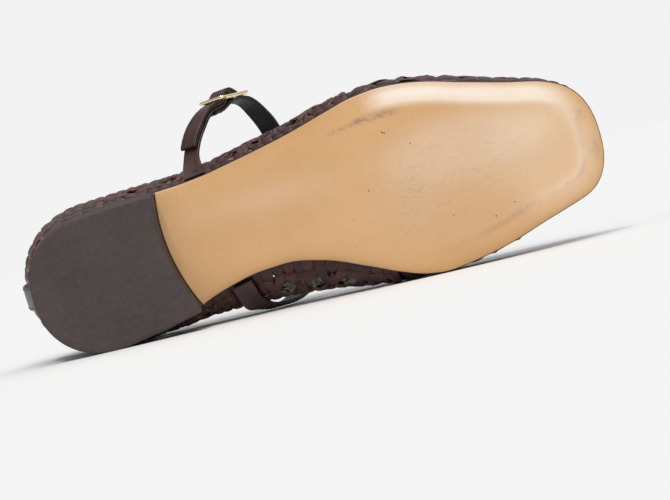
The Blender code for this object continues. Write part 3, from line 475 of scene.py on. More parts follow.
def curve_through(points, start_way, end_way, per_span=8):
    """A smooth curve through rows of centre and normal, which leaves and arrives along the two ways."""
    points = np.asarray(points, float)
    chord = np.linalg.norm(np.diff(points[:, :3], axis=0), axis=1)[:, None]
    slope = np.diff(points, axis=0) / chord
    tangent = np.zeros_like(points)
    tangent[1:-1] = (slope[:-1] * chord[1:] + slope[1:] * chord[:-1]) / (chord[:-1] + chord[1:])
    tangent[0, :3] = start_way
    tangent[-1, :3] = end_way
    made = []
    for i in range(len(points) - 1):
        for t in np.linspace(0.0, 1.0, per_span, endpoint=False):
            from_start = (1 + 2 * t) * (1 - t) ** 2 * points[i] + t * (1 - t) ** 2 * chord[i] * tangent[i]
            from_end = t * t * (3 - 2 * t) * points[i + 1] + t * t * (t - 1) * chord[i] * tangent[i + 1]
            made.append(from_start + from_end)
    made.append(points[-1])
    return np.array(made)


def wall_line(x, side, lift, shares):
    """Centres and normals up the wall at one place, lifted off the weave."""
    feather, outward = at_place(x, side)
    flat = np.array([outward[0], outward[1], 0.0])
    centres = []
    normals = []
    for share in shares:
        here = quarter_wall(feather, outward, share)
        higher = quarter_wall(feather, outward, min(share + 0.01, 1.0))
        lower = quarter_wall(feather, outward, max(share - 0.01, 0.0))
        rise = unit(higher - lower)
        normal = unit(flat - rise * float(flat @ rise))
        centres.append(here + normal * lift)
        normals.append(normal)
    return np.array(centres), np.array(normals)


# Free stretch of the straps: place along the sole, across it and up, then the way that the face looks.
# The buckle sits at the first of the instep's rows.
BUCKLE_PLACE = np.array([0.0995, -0.0580, 0.0500])
BUCKLE_TANGENT = unit([0.62, 0.06, 0.78])
BUCKLE_NORMAL = unit([0.0, -1.0, 0.077])
LATERAL_FREE = (
    (0.0792, -0.0365, 0.0285, -0.45, -0.72, -0.50),
    (0.0850, -0.0480, 0.0365, -0.35, -0.80, -0.45),
)
INSTEP_FREE = (
    (0.1125, -0.0450, 0.0645, 0.10, -0.80, 0.60),
    (0.1165, -0.0290, 0.0710, 0.05, -0.40, 0.90),
    (0.1185, -0.0060, 0.0740, 0.00, 0.00, 1.00),
    (0.1175, 0.0150, 0.0705, 0.00, 0.45, 0.90),
    (0.1130, 0.0285, 0.0615, 0.00, 0.85, 0.50),
    (0.1055, 0.0338, 0.0505, -0.05, 0.99, 0.10),
    (0.0975, 0.0344, 0.0400, -0.08, 0.97, -0.22),
    (0.0918, 0.0323, 0.0320, -0.10, 0.96, -0.25),
)


def bar_height():
    """The centre bar sits a little below the end bars."""
    return -BAR_DROP * BUCKLE_WIRE / 2


def layer_step():
    """From the middle of the long strap to the middle of the buckle strap under it."""
    return STRAP_THICKNESS / 2 + GAP + BUCKLE_STRAP_THICKNESS / 2


def bar_wrap():
    """From the middle of the centre bar to the middle of the buckle strap round it."""
    return BUCKLE_WIRE / 2 + GAP + BUCKLE_STRAP_THICKNESS / 2


def near_buckle(along, height):
    return BUCKLE_PLACE + BUCKLE_TANGENT * along + BUCKLE_NORMAL * height


def through_buckle(along, inside):
    """Centre and normal of a layer of strap in the buckle: under its end bars and over its centre bar."""
    low = -(BUCKLE_WIRE / 2 + GAP + STRAP_THICKNESS / 2)
    high = bar_height() + bar_wrap() + layer_step()
    reach = BUCKLE_LENGTH / 2
    turn = max(-1.0, min(1.0, along / reach)) * math.pi
    height = low + (high - low) * (1 + math.cos(turn)) / 2
    slope = -(high - low) / 2 * math.pi / reach * math.sin(turn)
    normal = unit(BUCKLE_NORMAL - BUCKLE_TANGENT * slope)
    return near_buckle(along, height) - normal * inside, normal


def buckle_layer(alongs, inside):
    rows = [through_buckle(along * BUCKLE_LENGTH, inside) for along in alongs]
    return np.array([row[0] for row in rows]), np.array([row[1] for row in rows])


def buckle_strap_rise():
    """Short strap from the sole's lateral edge up to the buckle's near end bar."""
    lift = WEAVE_RELIEF + GAP + BUCKLE_STRAP_THICKNESS / 2
    centres, normals = wall_line(LATERAL_ROOT, "lateral", lift, (0.02, 0.11, 0.20))
    end, facing = through_buckle(-0.5 * BUCKLE_LENGTH, layer_step())
    anchors = np.vstack([np.hstack([centres, normals]), LATERAL_FREE, [np.hstack([end, facing])]])
    rise = curve_through(anchors, unit(centres[1] - centres[0]), BUCKLE_TANGENT)
    return rise[:, :3], unit(rise[:, 3:])


def instep_strap_line():
    """Long strap: its free end over the buckle strap, through the buckle, over the instep, to the sole."""
    under, under_normals = buckle_strap_rise()
    run = run_along(under[::-1])[::-1]
    spread = layer_step() + TAIL_SLACK * smooth(run / TAIL_SLACK_REACH)
    tail = under + under_normals * spread[:, None]
    keep = run <= STRAP_TAIL - BUCKLE_LENGTH * 0.55
    dome, dome_normals = buckle_layer(np.linspace(-0.5, 0.5, 17), 0.0)
    lift = WEAVE_RELIEF + MEDIAL_STRAP_CLEAR + GAP + STRAP_THICKNESS / 2
    wall_centres, wall_normals = wall_line(MEDIAL_ROOT, "medial", lift, (0.26, 0.14, 0.02))
    anchors = np.vstack(
        [
            [np.hstack([dome[-1], dome_normals[-1]])],
            INSTEP_FREE,
            np.hstack([wall_centres, wall_normals]),
        ]
    )
    rest = curve_through(anchors, BUCKLE_TANGENT, unit(wall_centres[-1] - wall_centres[-2]))
    centres = np.vstack([tail[keep][:-1], dome, rest[1:, :3]])
    normals = np.vstack([under_normals[keep][:-1], dome_normals, unit(rest[1:, 3:])])
    return centres, normals


def buckle_strap_line():
    """Short strap: up from the sole, round the centre bar, and back on its inner side."""
    rise, rise_normals = buckle_strap_rise()
    dome, dome_normals = buckle_layer(np.linspace(-0.46, -0.03, 10), layer_step())
    wrap = []
    wrap_normals = []
    for turn in np.radians(np.linspace(90, -90, 11)):
        way = BUCKLE_TANGENT * math.cos(turn) + BUCKLE_NORMAL * math.sin(turn)
        wrap.append(near_buckle(0.0, bar_height()) + way * bar_wrap())
        wrap_normals.append(way)
    beneath = BUCKLE_STRAP_THICKNESS + 1.5 * GAP
    back, back_normals = buckle_layer(np.linspace(-0.40, -0.5, 5), layer_step() + beneath)
    run = run_along(rise[::-1])
    kept = (run > 0.0008) & (run <= STRAP_FOLD - BUCKLE_LENGTH * 0.45)
    end = rise[::-1][kept] - rise_normals[::-1][kept] * beneath
    centres = np.vstack([rise, dome, wrap, back, end])
    behind = -rise_normals[::-1][kept]
    normals = np.vstack([rise_normals, dome_normals, wrap_normals, -back_normals, behind])
    return centres, normals


def back_strip_line():
    """Up the back of the heel, over the topline and a little way down inside."""
    lift = WEAVE_RELIEF + GAP + BACK_STRIP_THICKNESS / 2
    shares = np.linspace(0.02, 0.98, 12)
    centres, normals = wall_line(0.0, "back", lift, shares)
    centres += normals * ((EDGE_BRAID_RELIEF - WEAVE_RELIEF) * smooth((shares - 0.6) / 0.25))[:, None]
    inner_lift = -(WALL + WEAVE_RELIEF + GAP + BACK_STRIP_THICKNESS / 2)
    inside = np.linspace(0.98, 1 - BACK_STRIP_INSIDE / BACK_HEIGHT, 5)
    inner, inner_normals = wall_line(0.0, "back", inner_lift, inside)
    start, end = centres[-1], inner[0]
    up = unit(centres[-1] - centres[-2])
    middle = (start + end) / 2
    radius = np.linalg.norm(end - start) / 2
    out = unit(start - end)
    fold = []
    fold_normals = []
    for turn in np.linspace(0, 180, 9)[1:-1]:
        way = out * math.cos(math.radians(turn)) + up * math.sin(math.radians(turn))
        fold.append(middle + up * (EDGE_BRAID_RELIEF + GAP) + way * radius)
        fold_normals.append(way)
    return np.vstack([centres, fold, inner]), np.vstack([normals, fold_normals, -inner_normals])


def rounded_rectangle(length, width, corner, steps):
    """Points round a rectangle with rounded corners."""
    points = []
    for quarter in range(4):
        sx = (1, -1, -1, 1)[quarter]
        sy = (1, 1, -1, -1)[quarter]
        centre = (sx * (length / 2 - corner), sy * (width / 2 - corner))
        for step in np.linspace(0, 90, steps):
            turn = math.radians(90 * quarter + step)
            points.append((centre[0] + corner * math.cos(turn), centre[1] + corner * math.sin(turn)))
    return points


# The camera, in the shoe's axes: where it looks, how far off it is and how it leans from square to the sole.
LOOK_AT = np.array([0.1274, 0.0147, 0.0])
CAMERA_DISTANCE = 1.0
CAMERA_TO_LATERAL = math.radians(5.5)
CAMERA_TO_TOE = math.radians(0.6)
CAMERA_ROLL = math.radians(16.65)
FIELD_OF_VIEW = math.radians(15.9)
CAMERA_CLIP = 0.05

# Light: what the dome gives, what the camera sees of it, and the floor's tone. Then the suns, each with its
# name, the way to it, strength, spread and colour.
DOME_LIGHT = 0.42
DOME_COLOUR = (0.97, 0.98, 1.0, 1.0)
BACKDROP = 0.896
FLOOR_TONE = 0.795
FLOOR_MOTTLE = 0.004
FLOOR_REACH = 30.0
WHITE = (1.0, 1.0, 1.0)
SUNS = (
    ("key", (0.10, -0.62, 0.75), 1.69, math.radians(38), (1.0, 0.985, 0.96)),
    ("top", (0.35, 0.30, 0.90), 0.55, math.radians(70), WHITE),
    ("glint", (-0.15, -0.45, 0.90), 0.60, math.radians(4), WHITE),
)

# The heel's walking face has its mount this far along the shoe.
HEEL_MOUNT_AT = 0.030
FLOOR_CLEAR = 0.0002

# The weave, in metres: thickness, swing over and under, and sink below the wall's face, of the vamp's strips
# and of the sides' closer strands.
STRIP_THICKNESS = 0.0010
WEAVE_SWING = 0.00055
WEAVE_SINK = 0.00050
SIDE_STRANDS = 1.5
SIDE_THICKNESS = 0.0013
SIDE_SWING = 0.00078
SIDE_SINK = 0.00062
STRIP_WIDEST = 0.0066
STRIP_FILL = 0.97
TOE_ROW_SHARE = 0.75
STEPS_PER_CELL = 8
WAVE_FLATNESS = 1.6
WIDTH_EASING = 4
PITCH_STEP = 0.25
PITCH_INSET = 0.3

# Beside an opening a strip is pulled off its line, narrowed, bunched, twisted, thickened and calmed.
NET_PULL = 0.27
NET_NARROW = 0.66
NET_BUNCH = 0.42
NET_TWIST = math.radians(26)
NET_THICKEN = 0.25
NET_CALM = 0.35
OPENING_FLAT = 0.22
OPENING_FADE = 0.62
JOIN_SINK = 0.0007
JOIN_REACH = 0.5
JOIN_STRAND_WIDTH = 0.0030
JOIN_STRAND_THICKNESS = 1.3 * STRIP_THICKNESS
JOIN_STRAND_ASIDE = 0.11

# What the hand leaves uneven: knots a cell, stray across and tilt. A strip is wider where it lies on top.
HAND_KNOTS = 1.5
HAND_JITTER = 0.045
HAND_TILT = math.radians(5)
TOP_WIDEN = 0.06

# The plait along the topline.
BRAID_REACH = 0.0019
BRAID_DEPTH = 0.0009
BRAID_STRAND = 0.0034
BRAID_STRAND_THICKNESS = 0.0015
BRAID_LUMP = 0.0052
BRAID_DROP = 0.75
BRAID_SETBACK = 0.0006
BRAID_EASINGS = 12
TOPLINE_INNER = 0.22
THROAT_STEPS = 160
QUARTER_STEPS = 460
TOPLINE_STEPS = 900

# Cross-section of a leather strip: across from -1 to 1, up from -1 to 1, and how much of its raw edge shows,
# drawn lighter both as raw leather and as a painted highlight.
STRIP_SECTION = (
    (-1.00, -0.10, 1.0),
    (-0.94, 0.42, 1.0),
    (-0.76, 0.86, 0.0),
    (0.00, 1.32, 0.0),
    (0.76, 0.86, 0.0),
    (0.94, 0.42, 1.0),
    (1.00, -0.10, 1.0),
    (0.85, -0.85, 0.3),
    (-0.85, -0.85, 0.3),
)
EDGE_SHARES = [row[2] for row in STRIP_SECTION]

# Creases of the vamp where the foot bends: place along the shoe, lean, depth and half width, in metres.
CREASES = (
    (0.1790, 0.22, 0.00055, 0.0016),
    (0.1850, -0.12, 0.00045, 0.0018),
    (0.1925, 0.10, 0.00038, 0.0022),
    (0.2040, -0.25, 0.00026, 0.0026),
)
CREASE_FROM_HEIGHT = 0.010
CREASE_FADE = 0.015
SWELLING = 0.45
SWELLING_AHEAD = 2.2

# Cross-section of a strap: across, up, and the slot of the face that starts there.
FACE, EDGE, LINING = range(3)
STRAP_SECTION = (
    (-1.00, 0.00, EDGE),
    (-0.985, 0.55, EDGE),
    (-0.94, 0.88, FACE),
    (-0.86, 0.98, FACE),
    (-0.74, 1.00, FACE),
    (-0.62, 0.93, FACE),
    (-0.30, 1.00, FACE),
    (0.00, 1.04, FACE),
    (0.30, 1.00, FACE),
    (0.62, 0.93, FACE),
    (0.74, 1.00, FACE),
    (0.86, 0.98, FACE),
    (0.94, 0.88, EDGE),
    (0.985, 0.55, EDGE),
    (1.00, 0.00, EDGE),
    (0.985, -0.60, EDGE),
    (0.93, -0.95, LINING),
    (0.50, -1.00, LINING),
    (0.00, -1.00, LINING),
    (-0.50, -1.00, LINING),
    (-0.93, -0.95, EDGE),
    (-0.985, -0.60, EDGE),
)
STRAP_STEP = 0.0008
STRAP_END_THICKNESS = 0.70
STRAP_END_REACH = 0.0006

# Stitches, in metres: their pitch, size, places from the strap's edge and ends, and lift off its face.
STITCH_PITCH = 0.0026
STITCH_LENGTH = 0.0019
STITCH_THICKNESS = 0.00042
STITCH_FROM_EDGE = 0.0012
STITCH_FROM_END = 0.0022
STITCH_LIFT = 0.00008
STITCH_RINGS = 5
STITCH_SIDES = 6
FACE_AT_STITCHES = 0.93

# Punched holes, drawn as dark dishes of painted shade: shares of the long strap, then rings of a dish, as
# shares of the radius and millimetres up.
HOLE_RADIUS = 0.0009
HOLE_SIDES = 20
HOLE_PLACES = (0.60, 0.655, 0.71, 0.865, 0.92)
HOLE_DISH = ((0.95, 0.0), (0.85, 0.035), (0.72, 0.03), (0.55, -0.02), (0.10, -0.03))

# The buckle's frame, its flattened wire, its bar's points across, and its pin, pressed into the strap.
BUCKLE_CORNER = 0.0022
FRAME_WIDTH = 1.02 * BUCKLE_WIRE
FRAME_THICKNESS = 0.92 * BUCKLE_WIRE
FRAME_SQUARENESS = 0.7
FRAME_SIDES = 14
FRAME_STEPS = 120
CORNER_STEPS = 12
ROD_SIDES = 12
BAR_WIDTH = 0.88 * BUCKLE_WIRE
BAR_PLACES = (-1.0, -0.33, 0.33, 1.0)
PIN_PRESSED_AT_START = 0.0016
PIN_START_SHARE = 0.22
PIN_PRESSED_ALONG = 0.0008
PIN_PRESSED_SHARE = 0.80
PIN_STEPS = 40
PIN_EASINGS = 6
PIN_TIP = 0.0014
PIN_TIP_SHARE = 0.55

# Edges of the sole and the insole: how far in from the outline, and how far over the underside, in metres.
SOLE_LOWER_EDGE = (
    (0.0, 0.00190),
    (0.00006, 0.00125),
    (0.00040, 0.00080),
    (0.0009, 0.00060),
    (0.0016, 0.00040),
    (0.0030, 0.00018),
    (0.0050, 0.00005),
    (0.0075, 0.0),
)
SOLE_UPPER_EDGE = ((0.0, 0.00190), (0.00006, 0.0027), (0.00035, 0.0032), (0.0010, 0.0035), (0.004, 0.0035))
SOLE_PAINTED_TO = 0.00045
INSOLE_LOWER_EDGE = ((0.0, 0.0010), (0.00008, 0.0004), (0.0004, 0.0), (0.004, 0.0))
INSOLE_UPPER_EDGE = ((0.0, 0.0010), (0.00008, 0.0015), (0.0004, 0.0019), (0.0010, 0.0020), (0.004, 0.0020))
INSOLE_EDGE_TO = 0.0002
LEAF_STEPS = 210
LEAF_ACROSS = 46
LEAF_OUTLINE_STEPS = 600
DISTANCE_OUTLINE_STEPS = 500
DISTANCE_BATCH = 2000

# Edges of the heel's two pieces: how far in from the outline, and how far from the lower or upper face.
LIFT_LOWER_EDGE = ((0.0010, 0.0), (0.0006, 0.0001), (0.0005, 0.0005), (0.0003, 0.0027))
LIFT_UPPER_EDGE = ((0.0001, 0.0006), (0.0003, 0.0001), (0.0008, 0.0))
TIP_LOWER_EDGE = ((0.0016, 0.0), (0.0011, 0.00008), (0.0007, 0.0003), (0.0005, 0.0007))
TIP_UPPER_EDGE = ((0.0005, 0.0004), (0.0008, 0.0))
HEEL_STEPS = 260
HEEL_CLOSING = (0.97, 0.75, 0.5, 0.25, 0.06)
HEEL_LAYER = 0.0032

# Soft spots of the sole's underside, rubbed and scuffed wear and pale spots, the one at the waist a painted
# highlight: what they are, strength, place, half sizes and squareness.
SOLE_SPOTS = (
    ("pale", 0.12, (0.105, -0.014), (0.035, 0.006), 1.0),
    ("pale", 0.30, (0.192, -0.012), (0.034, 0.014), 2.0),
    ("pale", 0.22, (0.226, 0.002), (0.026, 0.024), 2.0),
    ("rubbed", 0.95, (0.182, 0.002), (0.034, 0.026), 2.0),
    ("rubbed", 0.25, (0.130, 0.0), (0.050, 0.020), 1.0),
    ("scuff", 0.55, (0.2446, 0.0060), (0.0022, 0.0045), 1.0),
    ("scuff", 0.40, (0.2412, -0.0103), (0.0030, 0.0030), 1.0),
)
INSOLE_SPOTS = (
    ("rubbed", 0.8, (0.028, 0.0), (0.022, 0.020), 2.0),
    ("rubbed", 0.7, (0.175, 0.0), (0.030, 0.030), 2.0),
)

# Scuffed lines: strength, start, end and half width.
SOLE_STREAKS = (
    (1.00, (0.1655, -0.0340), (0.1520, -0.0337), 0.0013),
    (0.55, (0.1520, -0.0338), (0.1400, -0.0322), 0.0009),
    (0.42, (0.2120, 0.0195), (0.1900, 0.0255), 0.0008),
)

# Bands that follow the sole's edge: how far in their middle lies, and their half width. The glare and ridge
# bands are painted highlight.
GLARE_BAND = (0.0046, 0.0042)
RIDGE_HIGHLIGHT_BAND = (0.0098, 0.0021)
RING_BAND = (0.0088, 0.0010)
RIM_BAND = (0.0, 0.0022)
MEDIAL_BAND = (0.036, 0.008)

# Where wear and the painted highlights set in along or across the shoe: a place, and the length over which it
# grows.
BALL_ONSET = (0.150, 0.030)
GLARE_ONSET = (0.152, 0.016)
GLARE_SIDE = (0.004, 0.008)
GLARE_END = (0.226, 0.018)
RIDGE_HIGHLIGHT_ONSET = (0.195, 0.040)
RIDGE_HIGHLIGHT_SIDE = (-0.022, 0.012)
RING_SIDE = (-0.012, 0.015)
WARM_SIDE = (0.004, 0.016)
WARM_END = (0.195, 0.030)
CLEAN_EDGE = (0.003, 0.004)

# Dark specks pressed into the sole: along, across and radius. A painted line runs along the heel's breast.
SPECKS = (
    (0.1600, -0.0268, 0.0007),
    (0.1609, -0.0262, 0.0005),
    (0.1700, -0.0190, 0.0004),
    (0.1790, 0.0150, 0.0004),
    (0.1960, 0.0205, 0.0005),
    (0.1480, -0.0050, 0.0004),
    (0.2050, 0.0170, 0.0004),
)
BREAST_LINE = 0.0004
BREAST_LINE_BLUR = 0.0001

# Scratches: turn, stretch and seed of each way that they lie, how fine they are, and where noise shows one.
SCRATCH_WAYS = ((0.20, 62.0, 3.1), (0.55, 78.0, 7.7), (-0.25, 70.0, 12.9), (0.95, 56.0, 21.4))
SCRATCH_FINENESS = 1050.0
SCRATCH_FROM = 0.615
SCRATCH_TO = 0.70

# Angles below which neighbouring faces are shaded as one.
STRIP_SMOOTH = math.radians(50)
HEEL_SMOOTH = math.radians(40)
COINCIDENT = 2e-6
DEGENERATE = 1e-7


def pose_from_mount():
    """The turn and the shift that lay the shoe where its solids lie, from the heel's walking face."""
    mount = frame["record"]["mounts"][0]
    up = -unit(mount["axis"])
    forward = unit(np.cross([0.0, 1.0, 0.0], up))
    if forward[0] < 0:
        forward = -forward
    turn = np.stack([forward, np.cross(up, forward), up], axis=1)
    return turn, np.array(mount["pos_m"]) - turn @ np.array([HEEL_MOUNT_AT, 0.0, 0.0])


TURN, SHIFT = pose_from_mount()


def laid(points):
    """Points of the upright shoe, where they lie in the scene."""
    return np.asarray(points, float) @ TURN.T + SHIFT


def on_floor(points):
    """Presses flat what would stand under the floor that the shoe lies on."""
    points = points.copy()
    points[:, 2] = np.maximum(points[:, 2], FLOOR_CLEAR)
    return points


def closed_line(rows):
    return np.vstack([rows, rows[:1]])


def softened_loop(rows, times):
    """Rows of a loop, each drawn toward its neighbours."""
    for _ in range(times):
        rows = (np.roll(rows, 1, axis=0) + 2 * rows + np.roll(rows, -1, axis=0)) / 4
    return rows


def softened_line(rows, times):
    """Rows of an open line, each drawn toward its neighbours, with its ends kept."""
    for _ in range(times):
        middle = (rows[:-2] + 2 * rows[1:-1] + rows[2:]) / 4
        rows = np.vstack([rows[:1], middle, rows[-1:]])
    return rows


def running_mean(values, reach):
    padded = np.pad(values, reach, mode="edge")
    kernel = np.ones(2 * reach + 1) / (2 * reach + 1)
    return np.convolve(padded, kernel, mode="valid")


class Sheet:
    """A smooth surface through a half-cell grid of points, asked for by cell."""

    def __init__(self, grid):
        self.grid = np.asarray(grid, float)
        self.normals = grid_normals(self.grid)

    @staticmethod
    def weights(t):
        return np.stack(
            [
                -0.5 * t + t**2 - 0.5 * t**3,
                1 - 2.5 * t**2 + 1.5 * t**3,
                0.5 * t + 2 * t**2 - 1.5 * t**3,
                -0.5 * t**2 + 0.5 * t**3,
            ],
            axis=-1,
        )

    def blend(self, values, u, v):
        """Values at cells u and v. Past the grid's ends it goes on as it did at them."""
        rows, columns = values.shape[:2]
        a = np.clip(np.asarray(u, float) * 2, 0, rows - 1 - 1e-9)
        b = np.clip(np.asarray(v, float) * 2, 0, columns - 1 - 1e-9)
        i, j = np.floor(a).astype(int), np.floor(b).astype(int)
        wa, wb = self.weights(a - i), self.weights(b - j)
        total = np.zeros(a.shape + (3,))
        for m in range(4):
            for n in range(4):
                ii, jj = i + m - 1, j + n - 1
                ic, jc = np.clip(ii, 0, rows - 1), np.clip(jj, 0, columns - 1)
                value = values[ic, jc]
                over_i = (ii - ic)[..., None]
                over_j = (jj - jc)[..., None]
                near_i = values[np.clip(ic - np.sign(ii - ic), 0, rows - 1), jc]
                near_j = values[ic, np.clip(jc - np.sign(jj - jc), 0, columns - 1)]
                value = value + np.abs(over_i) * (value - near_i) + np.abs(over_j) * (value - near_j)
                total += wa[..., m : m + 1] * wb[..., n : n + 1] * value
        return total

    def at(self, u, v):
        return self.blend(self.grid, u, v)

    def normal(self, u, v):
        return unit(self.blend(self.normals, u, v))


def in_scene(name, data):
    """A new object of the scene."""
    obj = bpy.data.objects.new(name, data)
    bpy.context.scene.collection.objects.link(obj)
    return obj


def new_mesh(name, points, faces, slots, materials, values):
    """A mesh with a material slot for each face and named values for each point."""
    mesh = bpy.data.meshes.new(name)
    mesh.from_pydata(points.tolist(), [], faces)
    for label, value in values.items():
        layer = mesh.attributes.new(label, "FLOAT", "POINT")
        layer.data.foreach_set("value", np.asarray(value, np.float32))
    for material in materials:
        mesh.materials.append(material)
    mesh.polygons.foreach_set("material_index", slots)
    return mesh


def smooth_below(obj, angle):
    """Smooth shading, but for edges sharper than an angle."""
    obj.data.shade_smooth()
    with bpy.context.temp_override(active_object=obj, selected_editable_objects=[obj], object=obj):
        bpy.ops.object.shade_smooth_by_angle(angle=angle)


def outward(obj, joined=False):
    """Turns a closed mesh's faces outward, first joining its points that coincide if that is asked for."""
    made = bmesh.new()
    made.from_mesh(obj.data)
    if joined:
        bmesh.ops.remove_doubles(made, verts=made.verts, dist=COINCIDENT)
        bmesh.ops.dissolve_degenerate(made, edges=made.edges, dist=DEGENERATE)
    bmesh.ops.recalc_face_normals(made, faces=made.faces)
    made.to_mesh(obj.data)
    made.free()
    return obj


def tube_faces(steps, around, loop=False):
    """Faces of a tube through rings of points, with both ends closed unless it is a loop."""
    i, j = np.meshgrid(np.arange(steps if loop else steps - 1), np.arange(around), indexing="ij")
    n, k = (i + 1) % steps, (j + 1) % around
    corners = [i * around + j, i * around + k, n * around + k, n * around + j]
    faces = np.stack(corners, axis=-1).reshape(-1, 4).tolist()
    if not loop:
        first = list(range(around))
        faces += [first[::-1], [(steps - 1) * around + corner for corner in first]]
    return faces


class Builder:
    """Gathers tubes of rings into one mesh, with values for each point and a slot for each face."""

    def __init__(self):
        self.points, self.faces, self.slots = [], [], []
        self.values = {"shade": [], "edge": [], "under_shade": []}
        self.count = 0

    def add(self, rings, shade=0.5, edge=0.0, under_shade=0.0, slots=None, loop=False):
        """Rings is steps x ring x 3. Shade, a random tone, and the painted shade where a strand dips under
        others are one value or one a step, edge one or one a point.
        """
        rings = np.asarray(rings, float)
        steps, around = rings.shape[:2]
        self.points.append(rings.reshape(-1, 3))
        spread = {
            "shade": np.reshape(shade, (-1, 1)),
            "edge": np.reshape(edge, (1, -1)),
            "under_shade": np.reshape(under_shade, (-1, 1)),
        }
        for label, value in spread.items():
            self.values[label].append(np.broadcast_to(value, (steps, around)).reshape(-1))
        self.faces += [[self.count + corner for corner in face] for face in tube_faces(steps, around, loop)]
        slots = slots or [0] * around
        self.slots += slots * (steps if loop else steps - 1) + ([] if loop else slots[-1:] * 2)
        self.count += steps * around

    def build(self, name, materials):
        values = {label: np.concatenate(held) for label, held in self.values.items()}
        points = on_floor(laid(np.vstack(self.points)))
        mesh = new_mesh(name, points, self.faces, self.slots, materials, values)
        mesh.update()
        mesh.validate()
        obj = in_scene(name, mesh)
        smooth_below(obj, STRIP_SMOOTH)
        return outward(obj)


def frames(centres, normals, loop=False):
    """Sideways directions and squared normals along a line."""
    centres = np.asarray(centres, float)
    if loop:
        tangents = unit(np.roll(centres, -1, axis=0) - np.roll(centres, 1, axis=0))
    else:
        tangents = unit(np.gradient(centres, axis=0))
    normals = np.asarray(normals, float)
    normals = unit(normals - (normals * tangents).sum(-1, keepdims=True) * tangents)
    return np.cross(tangents, normals), normals


def each_step(value, steps):
    """One value, or one a step, as a column."""
    return np.broadcast_to(np.asarray(value, float), (steps,))[:, None]


def strip_rings(centres, normals, width, thickness, twist=0.0, section=STRIP_SECTION, loop=False):
    """Rings of a strip along a line. Width, thickness and twist are one value or one a step."""
    side, up = frames(centres, normals, loop)
    width, thickness, twist = (each_step(value, len(centres)) for value in (width, thickness, twist))
    across = np.array([row[0] for row in section])[None, :] * width / 2
    rise = np.array([row[1] for row in section])[None, :] * thickness / 2
    a = across * np.cos(twist) - rise * np.sin(twist)
    b = across * np.sin(twist) + rise * np.cos(twist)
    return centres[:, None, :] + side[:, None, :] * a[..., None] + up[:, None, :] * b[..., None]


def round_rings(centres, across, out, radius, sides):
    """Round rings about centres, each in the plane of its two directions."""
    turn = np.linspace(0, 2 * math.pi, sides, endpoint=False)
    cosine, sine = np.cos(turn)[None, :, None], np.sin(turn)[None, :, None]
    ring = across[:, None, :] * cosine + out[:, None, :] * sine
    return centres[:, None, :] + ring * each_step(radius, len(centres))[..., None]


def wave(phase):
    """Over and under, a little flat on top: 1 at even places and -1 at odd ones."""
    return np.tanh(WAVE_FLATNESS * np.cos(math.pi * phase)) / math.tanh(WAVE_FLATNESS)


def phase_row(index):
    """Where a counted crosswise strip lies along the vamp. In the closed toe they are closer."""
    start = VAMP_CELLS_ALONG - CLOSED_TOE_ROWS
    return index if index <= start else start + (index - start) * TOE_ROW_SHARE


def bump(x):
    """1 beside the middle of a cell and 0 towards its ends."""
    return 1 - smooth((np.abs(x) - OPENING_FLAT) / OPENING_FADE)


def crease(points):
    """How deep the leather sinks at each point, with a low swelling ahead of each crease."""
    depth = np.zeros(points.shape[:-1])
    high = smooth((points[..., 2] - CREASE_FROM_HEIGHT) / CREASE_FADE)
    for along, lean, deep, half in CREASES:
        away = (points[..., 0] - along - lean * points[..., 1]) / half
        depth += deep * (np.exp(-(away**2)) - SWELLING * np.exp(-((away - SWELLING_AHEAD) ** 2))) * high
    return depth


class Net:
    """One charted piece of the weave: its surface, its openings and how many strands a cell has."""

    def __init__(self, grid, is_hole, sign, strands, swing, sink, thickness):
        self.sheet = Sheet(grid)
        self.is_hole = is_hole
        self.sign = sign
        self.rows = (grid.shape[0] - 1) // 2
        self.columns = (grid.shape[1] - 1) // 2
        self.strands = strands
        self.swing, self.sink, self.thickness = swing, sink, thickness

    def hole(self, row, column):
        inside = 0 <= row < self.rows and 0 <= column < self.columns
        return bool(inside and self.is_hole(row, column))

    def home(self, strand, lengthwise):
        """The cell line that a strand belongs to, and its place beside it."""
        cells, count = self.measure(lengthwise)
        place = (strand + 0.5) * cells / count
        line = int(math.floor(place + 0.5))
        return line, place - line

    def measure(self, lengthwise):
        """Cells across a way of the weave, and how many strands lie in them."""
        cells = self.columns if lengthwise else self.rows
        return cells, int(cells * self.strands)

    def drawn(self, at, line, aside, lengthwise):
        """Where a strand runs across its line, how far pushed and how deep in the net, at places along it."""
        push = np.zeros_like(at)
        deep = np.zeros_like(at)
        if not float(line).is_integer():
            return np.full_like(at, line + aside), push, deep
        line = int(line)
        for cell in range(self.rows if lengthwise else self.columns):
            low = self.hole(cell, line - 1) if lengthwise else self.hole(line - 1, cell)
            high = self.hole(cell, line) if lengthwise else self.hole(line, cell)
            near = bump(at - (cell + 0.5))
            if low != high:
                push += near * (NET_PULL if low else -NET_PULL)
            if low or high:
                deep = np.maximum(deep, near)
        return line + push + aside * (1 - NET_BUNCH * deep), push, deep

    def place(self, u, v, lift):
        normal = self.sheet.normal(u, v) * self.sign
        spot = self.sheet.at(u, v)
        return spot + normal * (lift - self.sink - crease(spot))[..., None], normal

    def pitch(self, u, v, lengthwise):
        """Size of a cell across a strand, in metres."""
        if lengthwise:
            v = np.clip(v, PITCH_INSET, self.columns - PITCH_INSET)
            apart = self.sheet.at(u, v + PITCH_STEP) - self.sheet.at(u, v - PITCH_STEP)
        else:
            u = np.clip(u, PITCH_INSET, self.rows - PITCH_INSET)
            apart = self.sheet.at(u + PITCH_STEP, v) - self.sheet.at(u - PITCH_STEP, v)
        return np.linalg.norm(apart, axis=-1) / (2 * PITCH_STEP)

    def lines(self, lengthwise):
        """Each strand of one way of the weave: its cell line, and its place beside it."""
        if self.strands != 1:
            return [self.home(strand, lengthwise) for strand in range(self.measure(lengthwise)[1])]
        if lengthwise:
            return [(line, 0.0) for line in range(self.columns + 1)]
        count = VAMP_CELLS_ALONG - CLOSED_TOE_ROWS + round(CLOSED_TOE_ROWS / TOE_ROW_SHARE)
        return [(phase_row(index), 0.0) for index in range(count)]


